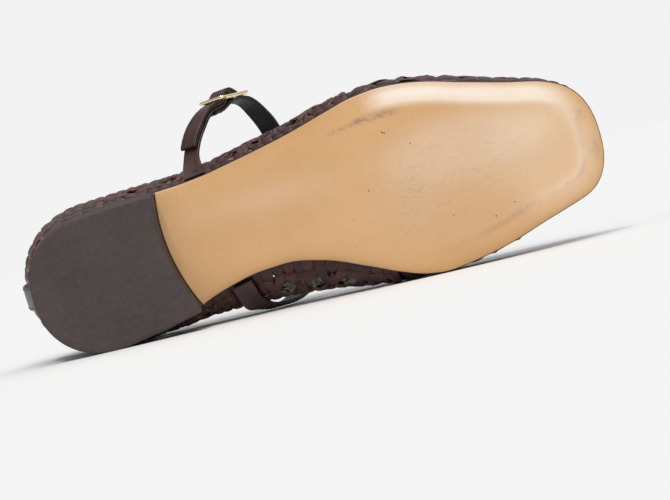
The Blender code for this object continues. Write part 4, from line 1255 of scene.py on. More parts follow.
def strip_width(pitch, deep):
    closed = np.minimum(STRIP_WIDEST, pitch * STRIP_FILL)
    return closed * (1 - (1 - NET_NARROW) * deep)


def weave_nets():
    """The vamp's net, and the quarters' with its closer strands."""
    vamp = vamp_grid()
    quarter = quarter_grid(vamp)

    def side_hole(cell, up):
        return quarter_hole(cell, up, quarter[2 * cell + 1, 0][0])

    return (
        Net(vamp, vamp_hole, -1.0, 1, WEAVE_SWING, WEAVE_SINK, STRIP_THICKNESS),
        Net(quarter, side_hole, 1.0, SIDE_STRANDS, SIDE_SWING, SIDE_SINK, SIDE_THICKNESS),
    )


def steps_along(cells):
    return np.linspace(0, cells, cells * STEPS_PER_CELL + 1)


def strands_met(net, at, line, aside, lengthwise, others):
    """How many of the other way's strands one has met, at places along it."""
    here = np.array([line + aside])
    meets = [float(net.drawn(here, other, beside, not lengthwise)[0][0]) for other, beside in others]
    meets = np.array(meets) + np.arange(len(meets)) * 1e-6
    count = np.interp(at, meets, np.arange(len(meets)))
    count = np.where(at < meets[0], (at - meets[0]) * net.strands, count)
    return np.where(at > meets[-1], len(meets) - 1 + (at - meets[-1]) * net.strands, count)


def strand(build, net, line, aside, lengthwise, others, number, rng, fill=1.0, sink=None):
    """One strand of a net, over and under the strands that it meets."""
    at = steps_along(net.rows if lengthwise else net.columns)
    across, push, deep = net.drawn(at, line, aside, lengthwise)
    count = strands_met(net, at, line, aside, lengthwise, others)
    sign = 1.0 if lengthwise else -1.0
    knots = np.linspace(at[0], at[-1], max(3, int(abs(at[-1] - at[0]) * HAND_KNOTS)))
    stray = np.interp(at, knots, rng.normal(0, HAND_JITTER, len(knots)))
    tilt = np.interp(at, knots, rng.normal(0, HAND_TILT, len(knots)))
    across = across + stray / net.strands
    lift = sign * net.swing * wave(count + number) * (1 - NET_CALM * deep)
    if sink is not None:
        lift = lift - JOIN_SINK * sink(at)
    u, v = (at, across) if lengthwise else (across, at)
    place, normal = net.place(u, v, lift)
    cells, held = net.measure(lengthwise)
    share = cells / held if net.strands > 1 else 1.0
    width = running_mean(strip_width(net.pitch(u, v, lengthwise) * share * fill, deep), WIDTH_EASING)
    width = width * (1 + TOP_WIDEN * wave(count + number) * sign)
    twist = NET_TWIST * deep * np.where(np.abs(push) > 0.02, np.sign(push), 0) + tilt
    rings = strip_rings(place, normal, width, net.thickness * (1 + NET_THICKEN * deep), twist)
    # Painted shade: how far the strand dips under the strands it crosses, darkened in the material.
    under = smooth((0.25 - lift / net.swing) / 1.0)
    build.add(rings, rng.uniform(0, 1), EDGE_SHARES, under)


def weave_vamp(build, net, rng):
    """Both ways of the vamp. Its first crosswise line is the throat, which the plait covers."""
    crossing, lengths = net.lines(False), net.lines(True)

    def at_join(at):
        return 1 - smooth(at / JOIN_REACH)

    for number, (line, aside) in enumerate(lengths):
        side = line <= QUARTER_CELLS_UP or line >= net.columns - QUARTER_CELLS_UP
        strand(build, net, line, aside, True, crossing, number, rng, sink=at_join if side else None)
    for number, (line, aside) in list(enumerate(crossing))[1:]:
        fill = TOE_ROW_SHARE if number > VAMP_CELLS_ALONG - CLOSED_TOE_ROWS else 1.0
        strand(build, net, line, aside, False, lengths, number, rng, fill)


def weave_quarters(build, net, rng):
    """Both ways of the quarters, and the two wound strands that cover each join with the vamp."""
    crossing, lengths = net.lines(False), net.lines(True)

    def at_joins(at):
        return 1 - smooth(np.minimum(at, net.rows - at) / JOIN_REACH)

    for number, (line, aside) in enumerate(lengths):
        strand(build, net, line, aside, True, crossing, number, rng, sink=at_joins)
    for number, (line, aside) in enumerate(crossing):
        strand(build, net, line, aside, False, lengths, number, rng)
    ups = steps_along(net.columns)
    for end in (0.0, float(net.rows)):
        for aside, start in ((-JOIN_STRAND_ASIDE, 0.0), (JOIN_STRAND_ASIDE, 1.0)):
            turn = math.pi * (2 * ups + start)
            round_at = np.clip(end + aside * np.cos(turn), 0, net.rows)
            place, normal = net.place(round_at, ups, SIDE_SWING * (0.85 + 0.5 * np.sin(turn)))
            rings = strip_rings(place, normal, JOIN_STRAND_WIDTH, JOIN_STRAND_THICKNESS)
            build.add(rings, rng.uniform(0, 1), EDGE_SHARES)


def topline_path(vamp, quarter):
    """Points, directions down the wall and normals along the whole topline, and its length."""
    columns = np.linspace(QUARTER_CELLS_UP, vamp.columns - QUARTER_CELLS_UP, THROAT_STEPS)
    cells = np.linspace(quarter.rows, 0, QUARTER_STEPS)
    top = np.full_like(cells, quarter.columns)
    stretches = []
    for net, edge, inner in (
        (vamp, (np.zeros_like(columns), columns), (np.full_like(columns, TOPLINE_INNER), columns)),
        (quarter, (cells, top), (cells, top - TOPLINE_INNER)),
    ):
        edges = net.sheet.at(*edge)
        stretches.append((edges, net.sheet.at(*inner) - edges, net.sheet.normal(*inner) * net.sign))
    edges, downs, normals = (np.vstack([front, back[1:-1]]) for front, back in zip(*stretches))
    run = run_along(closed_line(edges))
    at = np.linspace(0, run[-1], TOPLINE_STEPS, endpoint=False)
    closed = [closed_line(rows) for rows in (edges, unit(downs), normals)]
    edges, downs, normals = (softened_loop(sampled(at, run, rows), BRAID_EASINGS) for rows in closed)
    return edges, unit(downs), unit(normals), run[-1]


def braid(build, vamp, quarter, rng):
    """Three-strand plait along the topline."""
    edges, downs, normals, length = topline_path(vamp, quarter)
    turns = max(1, int(round(length / (3 * BRAID_LUMP))))
    angle = np.linspace(0, 2 * math.pi * turns, len(edges), endpoint=False)
    middle = edges + downs * BRAID_REACH * BRAID_DROP - normals * BRAID_SETBACK
    for number in range(3):
        turn = angle + 2 * math.pi * number / 3
        sway = downs * (BRAID_REACH * np.sin(turn))[:, None]
        rise = normals * (BRAID_DEPTH * np.sin(2 * turn))[:, None]
        rings = strip_rings(middle + sway + rise, normals, BRAID_STRAND, BRAID_STRAND_THICKNESS, loop=True)
        # Painted shade: where this strand of the plait dips under the other two, darkened in the material.
        under = smooth((0.1 - np.sin(2 * turn)) / 1.1)
        build.add(rings, rng.uniform(0, 1), EDGE_SHARES, under, loop=True)


def leaf_side(inset, profile):
    """Plan points, depths and heights of one face of a plate: edge rings, rungs, then edge rings again."""
    plan, depths, heights = [], [], []

    def lay(points, depth, height):
        plan.append(points)
        depths.append(np.broadcast_to(depth, len(points)))
        heights.append(np.full(len(points), height))

    def rings(side):
        outlines = [half_outline(side, inset + depth, LEAF_OUTLINE_STEPS) for depth, _ in profile]
        return [resampled(outline, LEAF_STEPS) for outline in outlines]

    medial, lateral = rings("medial"), rings("lateral")
    for points, (depth, height) in zip(medial, profile):
        lay(points, depth, height)
    a, b = medial[-1], lateral[-1]
    depth, height = profile[-1]
    for t in np.linspace(0, 1, LEAF_ACROSS + 1)[1:-1]:
        lay(a * (1 - t) + b * t, depth + np.linalg.norm(b - a, axis=1) * min(t, 1 - t), height)
    for points, (depth, height) in zip(lateral[::-1], profile[::-1]):
        lay(points, depth, height)
    return np.array(plan), np.array(depths), np.array(heights)


def edge_distance(plan):
    """How far each plan point is from the sole's outline."""
    outline = np.vstack([half_outline(side, 0.0, DISTANCE_OUTLINE_STEPS) for side in ("medial", "lateral")])
    flat = plan.reshape(-1, 2)
    nearest = []
    for start in range(0, len(flat), DISTANCE_BATCH):
        apart = flat[start : start + DISTANCE_BATCH, None, :] - outline[None]
        nearest.append(np.sqrt((apart**2).sum(-1)).min(axis=1))
    return np.concatenate(nearest).reshape(plan.shape[:-1])


def plate(name, inset, profiles, floor_of, materials, edge_depth, wear):
    """A leaf-shaped plate with moulded edges. Its materials are those of its underside, edge and top."""
    points, places, faces, slots = [], [], [], []
    count = 0
    for side, profile in enumerate(profiles):
        plan, depths, heights = leaf_side(inset, profile)
        columns, rows = plan.shape[:2]
        points.append(np.dstack([plan, floor_of(plan[..., 0]) + heights]).reshape(-1, 3))
        places.append(np.dstack([plan, edge_distance(plan)]).reshape(-1, 3))
        for j in range(columns - 1):
            at_edge = max(depths[j, 0], depths[j + 1, 0]) <= edge_depth
            slots += [1 if at_edge else 2 * side] * (rows - 1)
            for corner in range(count + j * rows, count + j * rows + rows - 1):
                face = [corner, corner + rows, corner + rows + 1, corner + 1]
                faces.append(face if side else face[::-1])
        count += columns * rows
    mesh = new_mesh(name, laid(np.vstack(points)), faces, slots, materials, wear(*np.vstack(places).T))
    obj = outward(in_scene(name, mesh), joined=True)
    mesh.shade_smooth()
    return obj


HEEL_OUTLINE = heel_outline()


def heel_ring(inset):
    """The heel's outline drawn in by a distance, evenly stepped."""
    points = softened_loop(resampled(closed_line(HEEL_OUTLINE), HEEL_STEPS)[:-1], 2)
    return points + unit(points.mean(axis=0) - points) * inset


def heel_solid(name, low, high, lower_edge, upper_edge, material):
    """A heel-shaped block between two heights, closed by rings drawn in to its middle."""
    profile = [(inset, low + over) for inset, over in lower_edge]
    profile += [(inset, high - under) for inset, under in upper_edge]
    first, last = heel_ring(profile[0][0]), heel_ring(profile[-1][0])
    middle = first.mean(axis=0)
    rings = [(middle + (first - middle) * share, profile[0][1]) for share in HEEL_CLOSING[::-1]]
    rings += [(heel_ring(inset), height) for inset, height in profile]
    rings += [(middle + (last - middle) * share, profile[-1][1]) for share in HEEL_CLOSING]
    points = np.vstack([np.column_stack([plan, np.full(HEEL_STEPS, height)]) for plan, height in rings])
    faces = tube_faces(len(rings), HEEL_STEPS)
    mesh = new_mesh(name, laid(points), faces, [0] * len(faces), [material], {"height": points[:, 2]})
    obj = outward(in_scene(name, mesh), joined=True)
    smooth_below(obj, HEEL_SMOOTH)
    return obj


def even_line(centres, normals, step):
    """A line taken again at even steps, with its length at each."""
    run = run_along(centres)
    at = np.linspace(0, run[-1], max(4, int(run[-1] / step)))
    centres, normals = (softened_line(sampled(at, run, rows), 2) for rows in (centres, normals))
    return centres, unit(normals), at


def strap(name, line, width, thickness, materials):
    """A cut strap with creased margins, thinner at its very ends."""
    centres, normals, at = line
    end = np.minimum(at, at[-1] - at)
    grown = np.sqrt(np.clip(end / STRAP_END_REACH, 0, 1))
    thick = thickness * (STRAP_END_THICKNESS + (1 - STRAP_END_THICKNESS) * grown)
    slots = [row[2] for row in STRAP_SECTION]
    # Painted highlight: the face is drawn a little lighter along the strap's edges.
    margin_highlight = [float(EDGE in (slots[k], slots[k - 1])) for k in range(len(slots))]
    rings = strip_rings(centres, normals, width, thick, section=STRAP_SECTION)
    build = Builder()
    build.add(rings, edge=margin_highlight, slots=slots)
    return build.build(name, materials)


def stitch_row(build, line, offset, lift):
    """Thread stitches lying along a strap's face, each a small rounded tube pressed into the face at its
    ends.
    """
    centres, normals, at = line
    side, up = frames(centres, normals)
    share = np.linspace(-1.0, 1.0, STITCH_RINGS)
    sink = STITCH_THICKNESS * 0.9 * np.abs(share) ** 3
    radius = STITCH_THICKNESS / 2 * (1 - 0.35 * share**2)
    for place in np.arange(STITCH_FROM_END, at[-1] - STITCH_FROM_END, STITCH_PITCH):
        along = place + share / 2 * STITCH_LENGTH
        middle, across, out = (sampled(along, at, rows) for rows in (centres, side, up))
        across, out = unit(across), unit(out)
        middle = middle + across * offset + out * (lift - sink)[:, None]
        build.add(round_rings(middle, across, out, radius, STITCH_SIDES))


def add_loop(build, ring, up, width, thickness):
    """A closed bar of rounded, slightly flattened section."""
    turn = np.linspace(0, 2 * math.pi, FRAME_SIDES, endpoint=False)
    side, up = frames(ring, up, loop=True)
    a = np.sign(np.cos(turn)) * np.abs(np.cos(turn)) ** FRAME_SQUARENESS * width / 2
    b = np.sign(np.sin(turn)) * np.abs(np.sin(turn)) ** FRAME_SQUARENESS * thickness / 2
    section = side[:, None, :] * a[None, :, None] + up[:, None, :] * b[None, :, None]
    build.add(ring[:, None, :] + section, loop=True)


def add_rod(build, points, width):
    side, up = frames(points, np.broadcast_to(BUCKLE_NORMAL, points.shape))
    build.add(round_rings(points, side, up, np.asarray(width) / 2, ROD_SIDES))


class Look:
    """A material and short ways to wire it."""

    def __init__(self, name):
        self.material = bpy.data.materials.new(name)
        self.material.use_nodes = True
        self.tree = self.material.node_tree
        self.shader = self.tree.nodes["Principled BSDF"]

    def node(self, kind, inputs, **values):
        """A new node. An input is another node's output or a plain value."""
        made = self.tree.nodes.new(kind)
        for key, value in values.items():
            setattr(made, key, value)
        for key, value in inputs.items():
            if isinstance(value, bpy.types.NodeSocket):
                self.tree.links.new(value, made.inputs[key])
            else:
                made.inputs[key].default_value = value
        return made

    def set(self, **values):
        """Plain values of the shader, by their names with _ for a space."""
        for name, value in values.items():
            self.shader.inputs[name.replace("_", " ")].default_value = value

    def colour(self, value):
        self.tree.links.new(value, self.shader.inputs["Base Color"])

    def coords(self):
        return self.node("ShaderNodeTexCoord", {}).outputs["Object"]

    def attribute(self, name):
        return self.node("ShaderNodeAttribute", {}, attribute_name=name).outputs["Fac"]

    def noise(self, scale, detail, rough=0.55, vector=None, distortion=0.0):
        inputs = {"Scale": scale, "Detail": detail, "Roughness": rough, "Distortion": distortion}
        return self.node("ShaderNodeTexNoise", {**inputs, "Vector": vector or self.coords()}).outputs["Fac"]

    def cells(self, scale):
        inputs = {"Scale": scale, "Vector": self.coords()}
        return self.node("ShaderNodeTexVoronoi", inputs).outputs["Distance"]

    def ramp(self, value, stops):
        made = self.node("ShaderNodeValToRGB", {"Fac": value})
        band = made.color_ramp
        while len(band.elements) < len(stops):
            band.elements.new(0.5)
        for element, (place, colour) in zip(band.elements, stops):
            element.position = place
            element.color = (*colour, 1.0)
        return made.outputs["Color"]

    def remap(self, value, low, high, to_low=0.0, to_high=1.0):
        inputs = {"Value": value, "From Min": low, "From Max": high, "To Min": to_low, "To Max": to_high}
        return self.node("ShaderNodeMapRange", inputs, clamp=True).outputs["Result"]

    def maths(self, operation, a, b):
        return self.node("ShaderNodeMath", {0: a, 1: b}, operation=operation).outputs["Value"]

    def times(self, a, b):
        return self.maths("MULTIPLY", a, b)

    def plus(self, a, b):
        return self.maths("ADD", a, b)

    def mix(self, share, a, colour):
        inputs = {0: share, 6: a, 7: (*colour, 1.0)}
        return self.node("ShaderNodeMix", inputs, data_type="RGBA").outputs[2]

    def stain(self, base, share, strength, colour):
        """A base that turns to a colour by a share."""
        return self.mix(self.times(share, strength), base, colour)

    def patches(self, scale, detail, low, high, to_low=0.0, to_high=1.0, rough=0.55):
        """Noise between two of its values, spread from one share to another."""
        return self.remap(self.noise(scale, detail, rough), low, high, to_low, to_high)

    def mottled(self, scale, detail, low_colour, high_colour, rough=0.55, low=0.3, high=0.7):
        """A colour that noise turns to another."""
        return self.ramp(self.noise(scale, detail, rough), ((low, low_colour), (high, high_colour)))

    def gloss(self, scale, detail, low, high):
        """Uneven roughness between two values."""
        self.rough(self.patches(scale, detail, 0.3, 0.7, low, high))

    def rough(self, value):
        self.tree.links.new(value, self.shader.inputs["Roughness"])

    def bump(self, height, strength, distance):
        inputs = {"Strength": strength, "Distance": distance, "Height": height}
        normal = self.node("ShaderNodeBump", inputs).outputs["Normal"]
        self.tree.links.new(normal, self.shader.inputs["Normal"])

    def specks(self, scale, few):
        """Dots in the middles of cells, kept where few is high."""
        return self.times(self.remap(self.cells(scale), 0.050, 0.030), few)

    def spot(self, place, radius):
        """1 within a small ragged spot on the surface."""
        away = self.node("ShaderNodeVectorMath", {0: self.coords(), 1: place}, operation="DISTANCE")
        ragged = self.plus(away.outputs["Value"], self.patches(1500, 2, 0.3, 0.7, 0.0, radius))
        return self.remap(ragged, 1.35 * radius, 1.0 * radius)

    def mapping(self, vector, **inputs):
        return self.node("ShaderNodeMapping", {"Vector": vector, **inputs}).outputs["Vector"]

    def scratches(self):
        """Fine long scratches, each way of lying from its own stretched noise."""
        total = None
        for turn, stretch, seed in SCRATCH_WAYS:
            shift = (seed, seed * 0.7, seed * 1.3)
            turned = self.mapping(self.coords(), Location=shift, Rotation=(0.0, turn, 0.0))
            place = self.mapping(turned, Scale=(stretch, stretch, SCRATCH_FINENESS))
            line = self.remap(self.noise(1.6, 2, 0.5, place), SCRATCH_FROM, SCRATCH_TO)
            total = line if total is None else self.maths("MAXIMUM", total, line)
        return total


def woven_leather():
    look = Look("woven_leather")
    mixed = look.plus(look.times(look.attribute("shade"), 0.50), look.times(look.noise(90, 5), 0.65))
    dark, mid, light = (0.0160, 0.0060, 0.0055), (0.0460, 0.0148, 0.0126), (0.0880, 0.0310, 0.0250)
    body = look.ramp(mixed, ((0.15, dark), (0.55, mid), (0.95, light)))
    # Lighter raw edges of the strips: partly the raw leather's own colour, partly a painted highlight along
    # the edges.
    raw_edge_and_highlight = look.times(look.attribute("edge"), look.patches(700, 3, 0.42, 0.66, 0.05, 1.0))
    edged = look.stain(body, raw_edge_and_highlight, 0.78, (0.26, 0.130, 0.088))
    # Painted shade: strands darken almost to black where they dip under the strands that cross them.
    look.colour(look.stain(edged, look.attribute("under_shade"), 0.72, (0.0075, 0.0040, 0.0038)))
    look.gloss(320, 4, 0.30, 0.52)
    look.set(Coat_Weight=0.42, Coat_Roughness=0.09, Coat_IOR=1.38, Specular_IOR_Level=0.20)
    grain = look.plus(look.cells(1500), look.times(look.noise(2500, 2), 0.7))
    look.bump(look.plus(grain, look.times(look.noise(420, 3, distortion=1.5), 1.5)), 0.36, 0.00022)
    return look.material


def strap_leather():
    look = Look("strap_leather")
    body = look.mottled(110, 5, (0.0250, 0.0105, 0.0094), (0.0660, 0.0280, 0.0235), 0.6, 0.32, 0.68)
    # Painted highlight: the face is lighter beside the strap's edges.
    look.colour(look.stain(body, look.attribute("edge"), 0.12, (0.14, 0.08, 0.058)))
    look.gloss(400, 3, 0.32, 0.50)
    look.set(Coat_Weight=0.22, Coat_Roughness=0.20, Coat_IOR=1.38, Specular_IOR_Level=0.28)
    wrinkles = look.times(look.noise(340, 4, 0.6, distortion=2.2), 1.8)
    look.bump(look.plus(look.plus(look.cells(1900), look.noise(3000, 2)), wrinkles), 0.42, 0.00020)
    return look.material


def edge_paint():
    look = Look("edge_paint")
    look.colour(look.mottled(300, 3, (0.018, 0.010, 0.009), (0.034, 0.019, 0.016)))
    look.gloss(500, 3, 0.26, 0.40)
    look.set(Specular_IOR_Level=0.30)
    look.bump(look.noise(1400, 3), 0.18, 0.00012)
    return look.material


def lining_leather():
    look = Look("strap_lining")
    look.colour(look.mottled(120, 5, (0.016, 0.016, 0.016), (0.036, 0.034, 0.033)))
    look.gloss(500, 3, 0.42, 0.6)
    look.bump(look.plus(look.cells(2300), look.noise(2600, 3)), 0.25, 0.00014)
    return look.material


def sole_leather():
    look = Look("sole_leather")
    tans = ((0.25, (0.600, 0.342, 0.144)), (0.55, (0.665, 0.388, 0.172)), (0.8, (0.705, 0.428, 0.204)))
    base = look.ramp(look.noise(16, 6, 0.6), tans)
    base = look.mix(look.patches(700, 4, 0.45, 0.8, 0.0, 0.30), base, (0.50, 0.295, 0.140))
    # Painted highlight: the pale glare and ridge bands along the sole's edges, and pale spots, the one at the
    # waist a painted highlight too.
    pale_and_glare = look.times(look.attribute("pale"), look.patches(40, 4, 0.25, 0.7, 0.70, 1.0))
    rubbed = look.times(look.attribute("rubbed"), look.patches(38, 6, 0.36, 0.66, 0.30, 1.0, 0.7))
    ring = look.times(look.attribute("ring"), look.patches(110, 5, 0.38, 0.66, 0.15, 1.0, 0.7))
    scuff = look.times(look.attribute("scuff"), look.patches(520, 6, 0.38, 0.58, rough=0.75))
    scratches = look.scratches()
    base = look.mix(pale_and_glare, base, (0.945, 0.850, 0.735))
    for share, strength, colour in (
        (rubbed, 0.55, (0.600, 0.420, 0.285)),
        (ring, 0.42, (0.380, 0.245, 0.185)),
        (scuff, 0.85, (0.250, 0.150, 0.128)),
        (look.attribute("rim"), 0.50, (0.500, 0.270, 0.105)),
        (look.times(scratches, rubbed), 0.42, (0.370, 0.245, 0.170)),
        (look.specks(170, look.patches(30, 3, 0.45, 0.60)), 0.75, (0.14, 0.085, 0.06)),
    ):
        base = look.stain(base, share, strength, colour)
    for along, across, radius in SPECKS:
        place = laid([along, across, float(sole_underside(np.array(along)))])
        base = look.stain(base, look.spot(place, radius), 0.85, (0.075, 0.042, 0.034))
    blur = BREAST_LINE_BLUR
    painted = look.remap(look.attribute("behind"), -BREAST_LINE - blur, -BREAST_LINE + blur)
    look.colour(look.mix(painted, base, (0.018, 0.010, 0.009)))
    look.rough(look.remap(look.plus(look.noise(220, 4), look.times(rubbed, 0.35)), 0.3, 1.0, 0.32, 0.62))
    look.set(Coat_Weight=0.10, Coat_Roughness=0.30)
    look.bump(look.plus(look.noise(900, 4), look.times(scratches, -1.0)), 0.16, 0.00012)
    return look.material


def heel_leather():
    look = Look("heel_stack")
    turns = look.times(look.attribute("height"), 2 * math.pi / HEEL_LAYER)
    seam = look.remap(look.maths("SINE", turns, 0.0), 0.93, 1.0)
    body = look.mottled(90, 5, (0.0110, 0.0062, 0.0055), (0.0230, 0.0130, 0.0110))
    look.colour(look.stain(body, seam, 0.6, (0.008, 0.005, 0.0045)))
    look.gloss(300, 4, 0.30, 0.46)
    look.set(Specular_IOR_Level=0.28)
    look.bump(look.plus(look.noise(1500, 3), look.times(seam, -1.0)), 0.22, 0.00015)
    return look.material


def heel_rubber():
    look = Look("heel_rubber")
    body = look.mottled(34, 6, (0.041, 0.0285, 0.0262), (0.060, 0.0425, 0.0392), 0.6)
    dusty = look.mix(look.patches(600, 5, 0.52, 0.80, 0.0, 0.30, 0.7), body, (0.11, 0.094, 0.086))
    specks = look.specks(230, look.patches(60, 2, 0.50, 0.62))
    spotted = look.stain(dusty, specks, 0.6, (0.34, 0.29, 0.25))
    look.colour(look.stain(spotted, look.scratches(), 0.06, (0.19, 0.165, 0.15)))
    look.gloss(400, 4, 0.55, 0.75)
    look.bump(look.plus(look.noise(1600, 4), look.noise(5200, 2)), 0.30, 0.00016)
    return look.material


def insole_leather():
    look = Look("insole_leather")
    tans = ((0.25, (0.390, 0.135, 0.048)), (0.55, (0.460, 0.170, 0.064)), (0.85, (0.530, 0.215, 0.088)))
    trodden = look.times(look.attribute("rubbed"), look.patches(45, 5, 0.3, 0.7, 0.4, 1.0))
    look.colour(look.stain(look.ramp(look.noise(22, 5), tans), trodden, 0.5, (0.185, 0.072, 0.034)))
    look.gloss(300, 4, 0.36, 0.52)
    look.set(Coat_Weight=0.1)
    look.bump(look.plus(look.cells(1800), look.noise(2400, 3)), 0.18, 0.00014)
    return look.material


def gold():
    look = Look("gold_metal")
    look.colour(look.mottled(200, 3, (0.900, 0.700, 0.420), (0.960, 0.790, 0.540)))
    look.set(Metallic=1.0)
    look.gloss(700, 3, 0.12, 0.24)
    look.bump(look.noise(1200, 2), 0.04, 0.0001)
    return look.material


def thread():
    look = Look("thread")
    look.colour(look.mottled(900, 2, (0.045, 0.024, 0.020), (0.105, 0.060, 0.050)))
    look.set(Roughness=0.55)
    look.bump(look.noise(5000, 1), 0.3, 0.0001)
    return look.material


def hole_shade():
    # Painted shade: near black stands for the dark inside of a punched hole.
    look = Look("punched_hole_shade")
    look.colour(look.mottled(900, 2, (0.004, 0.003, 0.003), (0.010, 0.007, 0.006)))
    look.gloss(900, 2, 0.8, 0.9)
    return look.material


def floor_paper():
    look = Look("floor_paper")
    look.colour(look.mottled(30, 3, (FLOOR_TONE - FLOOR_MOTTLE,) * 3, (FLOOR_TONE + FLOOR_MOTTLE,) * 3))
    look.set(Roughness=0.95, Specular_IOR_Level=0.0)
    return look.material


def main_camera():
    """The photo's view: square to the sole but for a little lean, and rolled."""
    away = unit([math.sin(CAMERA_TO_TOE), -math.sin(CAMERA_TO_LATERAL), -math.cos(CAMERA_TO_LATERAL)])
    back = TURN @ away
    length = TURN @ np.array([1.0, 0.0, 0.0])
    flat = unit(length - back * float(length @ back))
    rise = np.cross(back, flat)
    right = flat * math.cos(CAMERA_ROLL) - rise * math.sin(CAMERA_ROLL)
    up = rise * math.cos(CAMERA_ROLL) + flat * math.sin(CAMERA_ROLL)
    data = bpy.data.cameras.new("photo_view")
    data.angle = FIELD_OF_VIEW
    data.clip_start = CAMERA_CLIP
    camera = in_scene("photo_view", data)
    pose = np.eye(4)
    pose[:3] = np.column_stack([right, up, back, laid(LOOK_AT) + back * CAMERA_DISTANCE])
    camera.matrix_world = Matrix(pose.tolist())
    bpy.context.scene.camera = camera


def backdrop():
    """An even pale dome, with less light from it than it shows to the camera."""
    world = bpy.data.worlds.new("studio")
    world.use_nodes = True
    tree = world.node_tree
    given = tree.nodes["Background"]
    given.inputs["Color"].default_value = DOME_COLOUR
    given.inputs["Strength"].default_value = DOME_LIGHT
    seen = tree.nodes.new("ShaderNodeBackground")
    seen.inputs["Color"].default_value = (BACKDROP, BACKDROP, BACKDROP, 1.0)
    path = tree.nodes.new("ShaderNodeLightPath")
    mix = tree.nodes.new("ShaderNodeMixShader")
    tree.links.new(path.outputs["Is Camera Ray"], mix.inputs["Fac"])
    tree.links.new(given.outputs["Background"], mix.inputs[1])
    tree.links.new(seen.outputs["Background"], mix.inputs[2])
    tree.links.new(mix.outputs["Shader"], tree.nodes["World Output"].inputs["Surface"])
    bpy.context.scene.world = world
    bpy.context.scene.view_settings.view_transform = "Standard"


def make_floor():
    reach = FLOOR_REACH
    corners = np.array([(-reach, -reach, 0), (reach, -reach, 0), (reach, reach, 0), (-reach, reach, 0)])
    floor = in_scene("floor", new_mesh("floor", corners, [(0, 1, 2, 3)], [0], [floor_paper()], {}))


def lights():
    for name, towards, power, spread, colour in SUNS:
        data = bpy.data.lights.new(name, "SUN")
        data.energy = power
        data.angle = spread
        data.color = colour
        in_scene(name, data).rotation_euler = (-Vector(towards)).to_track_quat("-Z", "Y").to_euler()


def carried(obj, node):
    """Puts a piece on the shoe's body, in place of one of its solids."""
    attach(obj, "root")
    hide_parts(node)


def blob(x, y, at, size, power):
    """A soft spot, 1 at its middle."""
    away = ((x - at[0]) / size[0]) ** 2 + ((y - at[1]) / size[1]) ** 2
    return np.exp(-(away**power))


def streak(x, y, start, end, width):
    """A soft line between two places."""
    start, end = np.array(start), np.array(end)
    way = end - start
    length = np.linalg.norm(way)
    way = way / length
    along = (x - start[0]) * way[0] + (y - start[1]) * way[1]
    beside = -(x - start[0]) * way[1] + (y - start[1]) * way[0]
    past = np.maximum(np.maximum(-along, along - length), 0.0)
    return np.exp(-((beside / width) ** 2) - (past / (2 * width)) ** 2)


def band(value, middle, width, power=2):
    return np.exp(-(((value - middle) / width) ** power))


def onset(value, start, length):
    """0 before a place and 1 a length past it."""
    return smooth((value - start) / length)


def spots(x, y, kind, rows):
    """The soft spots of one kind of wear together."""
    return sum(strength * blob(x, y, *spot) for name, strength, *spot in rows if name == kind)


def breast_line(y):
    """Where the heel ends along the shoe, at places across it."""
    front = HEEL_OUTLINE[HEEL_OUTLINE[:, 0] > HEEL_LENGTH - HEEL_BREAST_HOLLOW]
    front = front[np.argsort(front[:, 1])]
    return np.interp(y, front[:, 1], front[:, 0])


def sole_wear_and_glare(x, y, depth):
    """Where the sole's underside is pale with painted glare and highlight, rubbed, ringed, scuffed and warm
    at its rim.
    """
    ball = onset(x, *BALL_ONSET)
    # Painted highlight: a pale glare band along the lateral forefoot's edge, and a pale ridge band inside the
    # toe's edge.
    glare = band(depth, *GLARE_BAND, 4) * onset(x, *GLARE_ONSET) * onset(-y, *GLARE_SIDE)
    glare *= 1 - onset(x, *GLARE_END)
    ridge = band(depth, *RIDGE_HIGHLIGHT_BAND) * onset(x, *RIDGE_HIGHLIGHT_ONSET) * onset(y, *RIDGE_HIGHLIGHT_SIDE)
    scuff = sum(strength * streak(x, y, start, end, width) for strength, start, end, width in SOLE_STREAKS)
    rim = band(depth, *RIM_BAND) + 0.55 * band(y, *MEDIAL_BAND) * (y > 0) * ball
    rim += 0.32 * onset(y, *WARM_SIDE) * (1 - onset(x, *WARM_END))
    wear = {
        "pale": glare + 0.22 * ridge + spots(x, y, "pale", SOLE_SPOTS),
        "rubbed": spots(x, y, "rubbed", SOLE_SPOTS) * onset(depth, *CLEAN_EDGE),
        "ring": band(depth, *RING_BAND) * ball * onset(y, *RING_SIDE),
        "scuff": scuff + spots(x, y, "scuff", SOLE_SPOTS),
        "rim": rim,
    }
    return {name: np.clip(share, 0, 1) for name, share in wear.items()} | {"behind": breast_line(y) - x}


def insole_wear(x, y, _):
    return {"rubbed": np.clip(spots(x, y, "rubbed", INSOLE_SPOTS), 0, 1)}


def make_upper(looks):
    rng = np.random.default_rng(7)
    vamp, quarter = weave_nets()
    woven, plait = Builder(), Builder()
    weave_vamp(woven, vamp, rng)
    weave_quarters(woven, quarter, rng)
    carried(woven.build("woven_upper", [looks["woven"]]), "upper")
    braid(plait, vamp, quarter, rng)
    carried(plait.build("topline_braid", [looks["woven"]]), "upper")


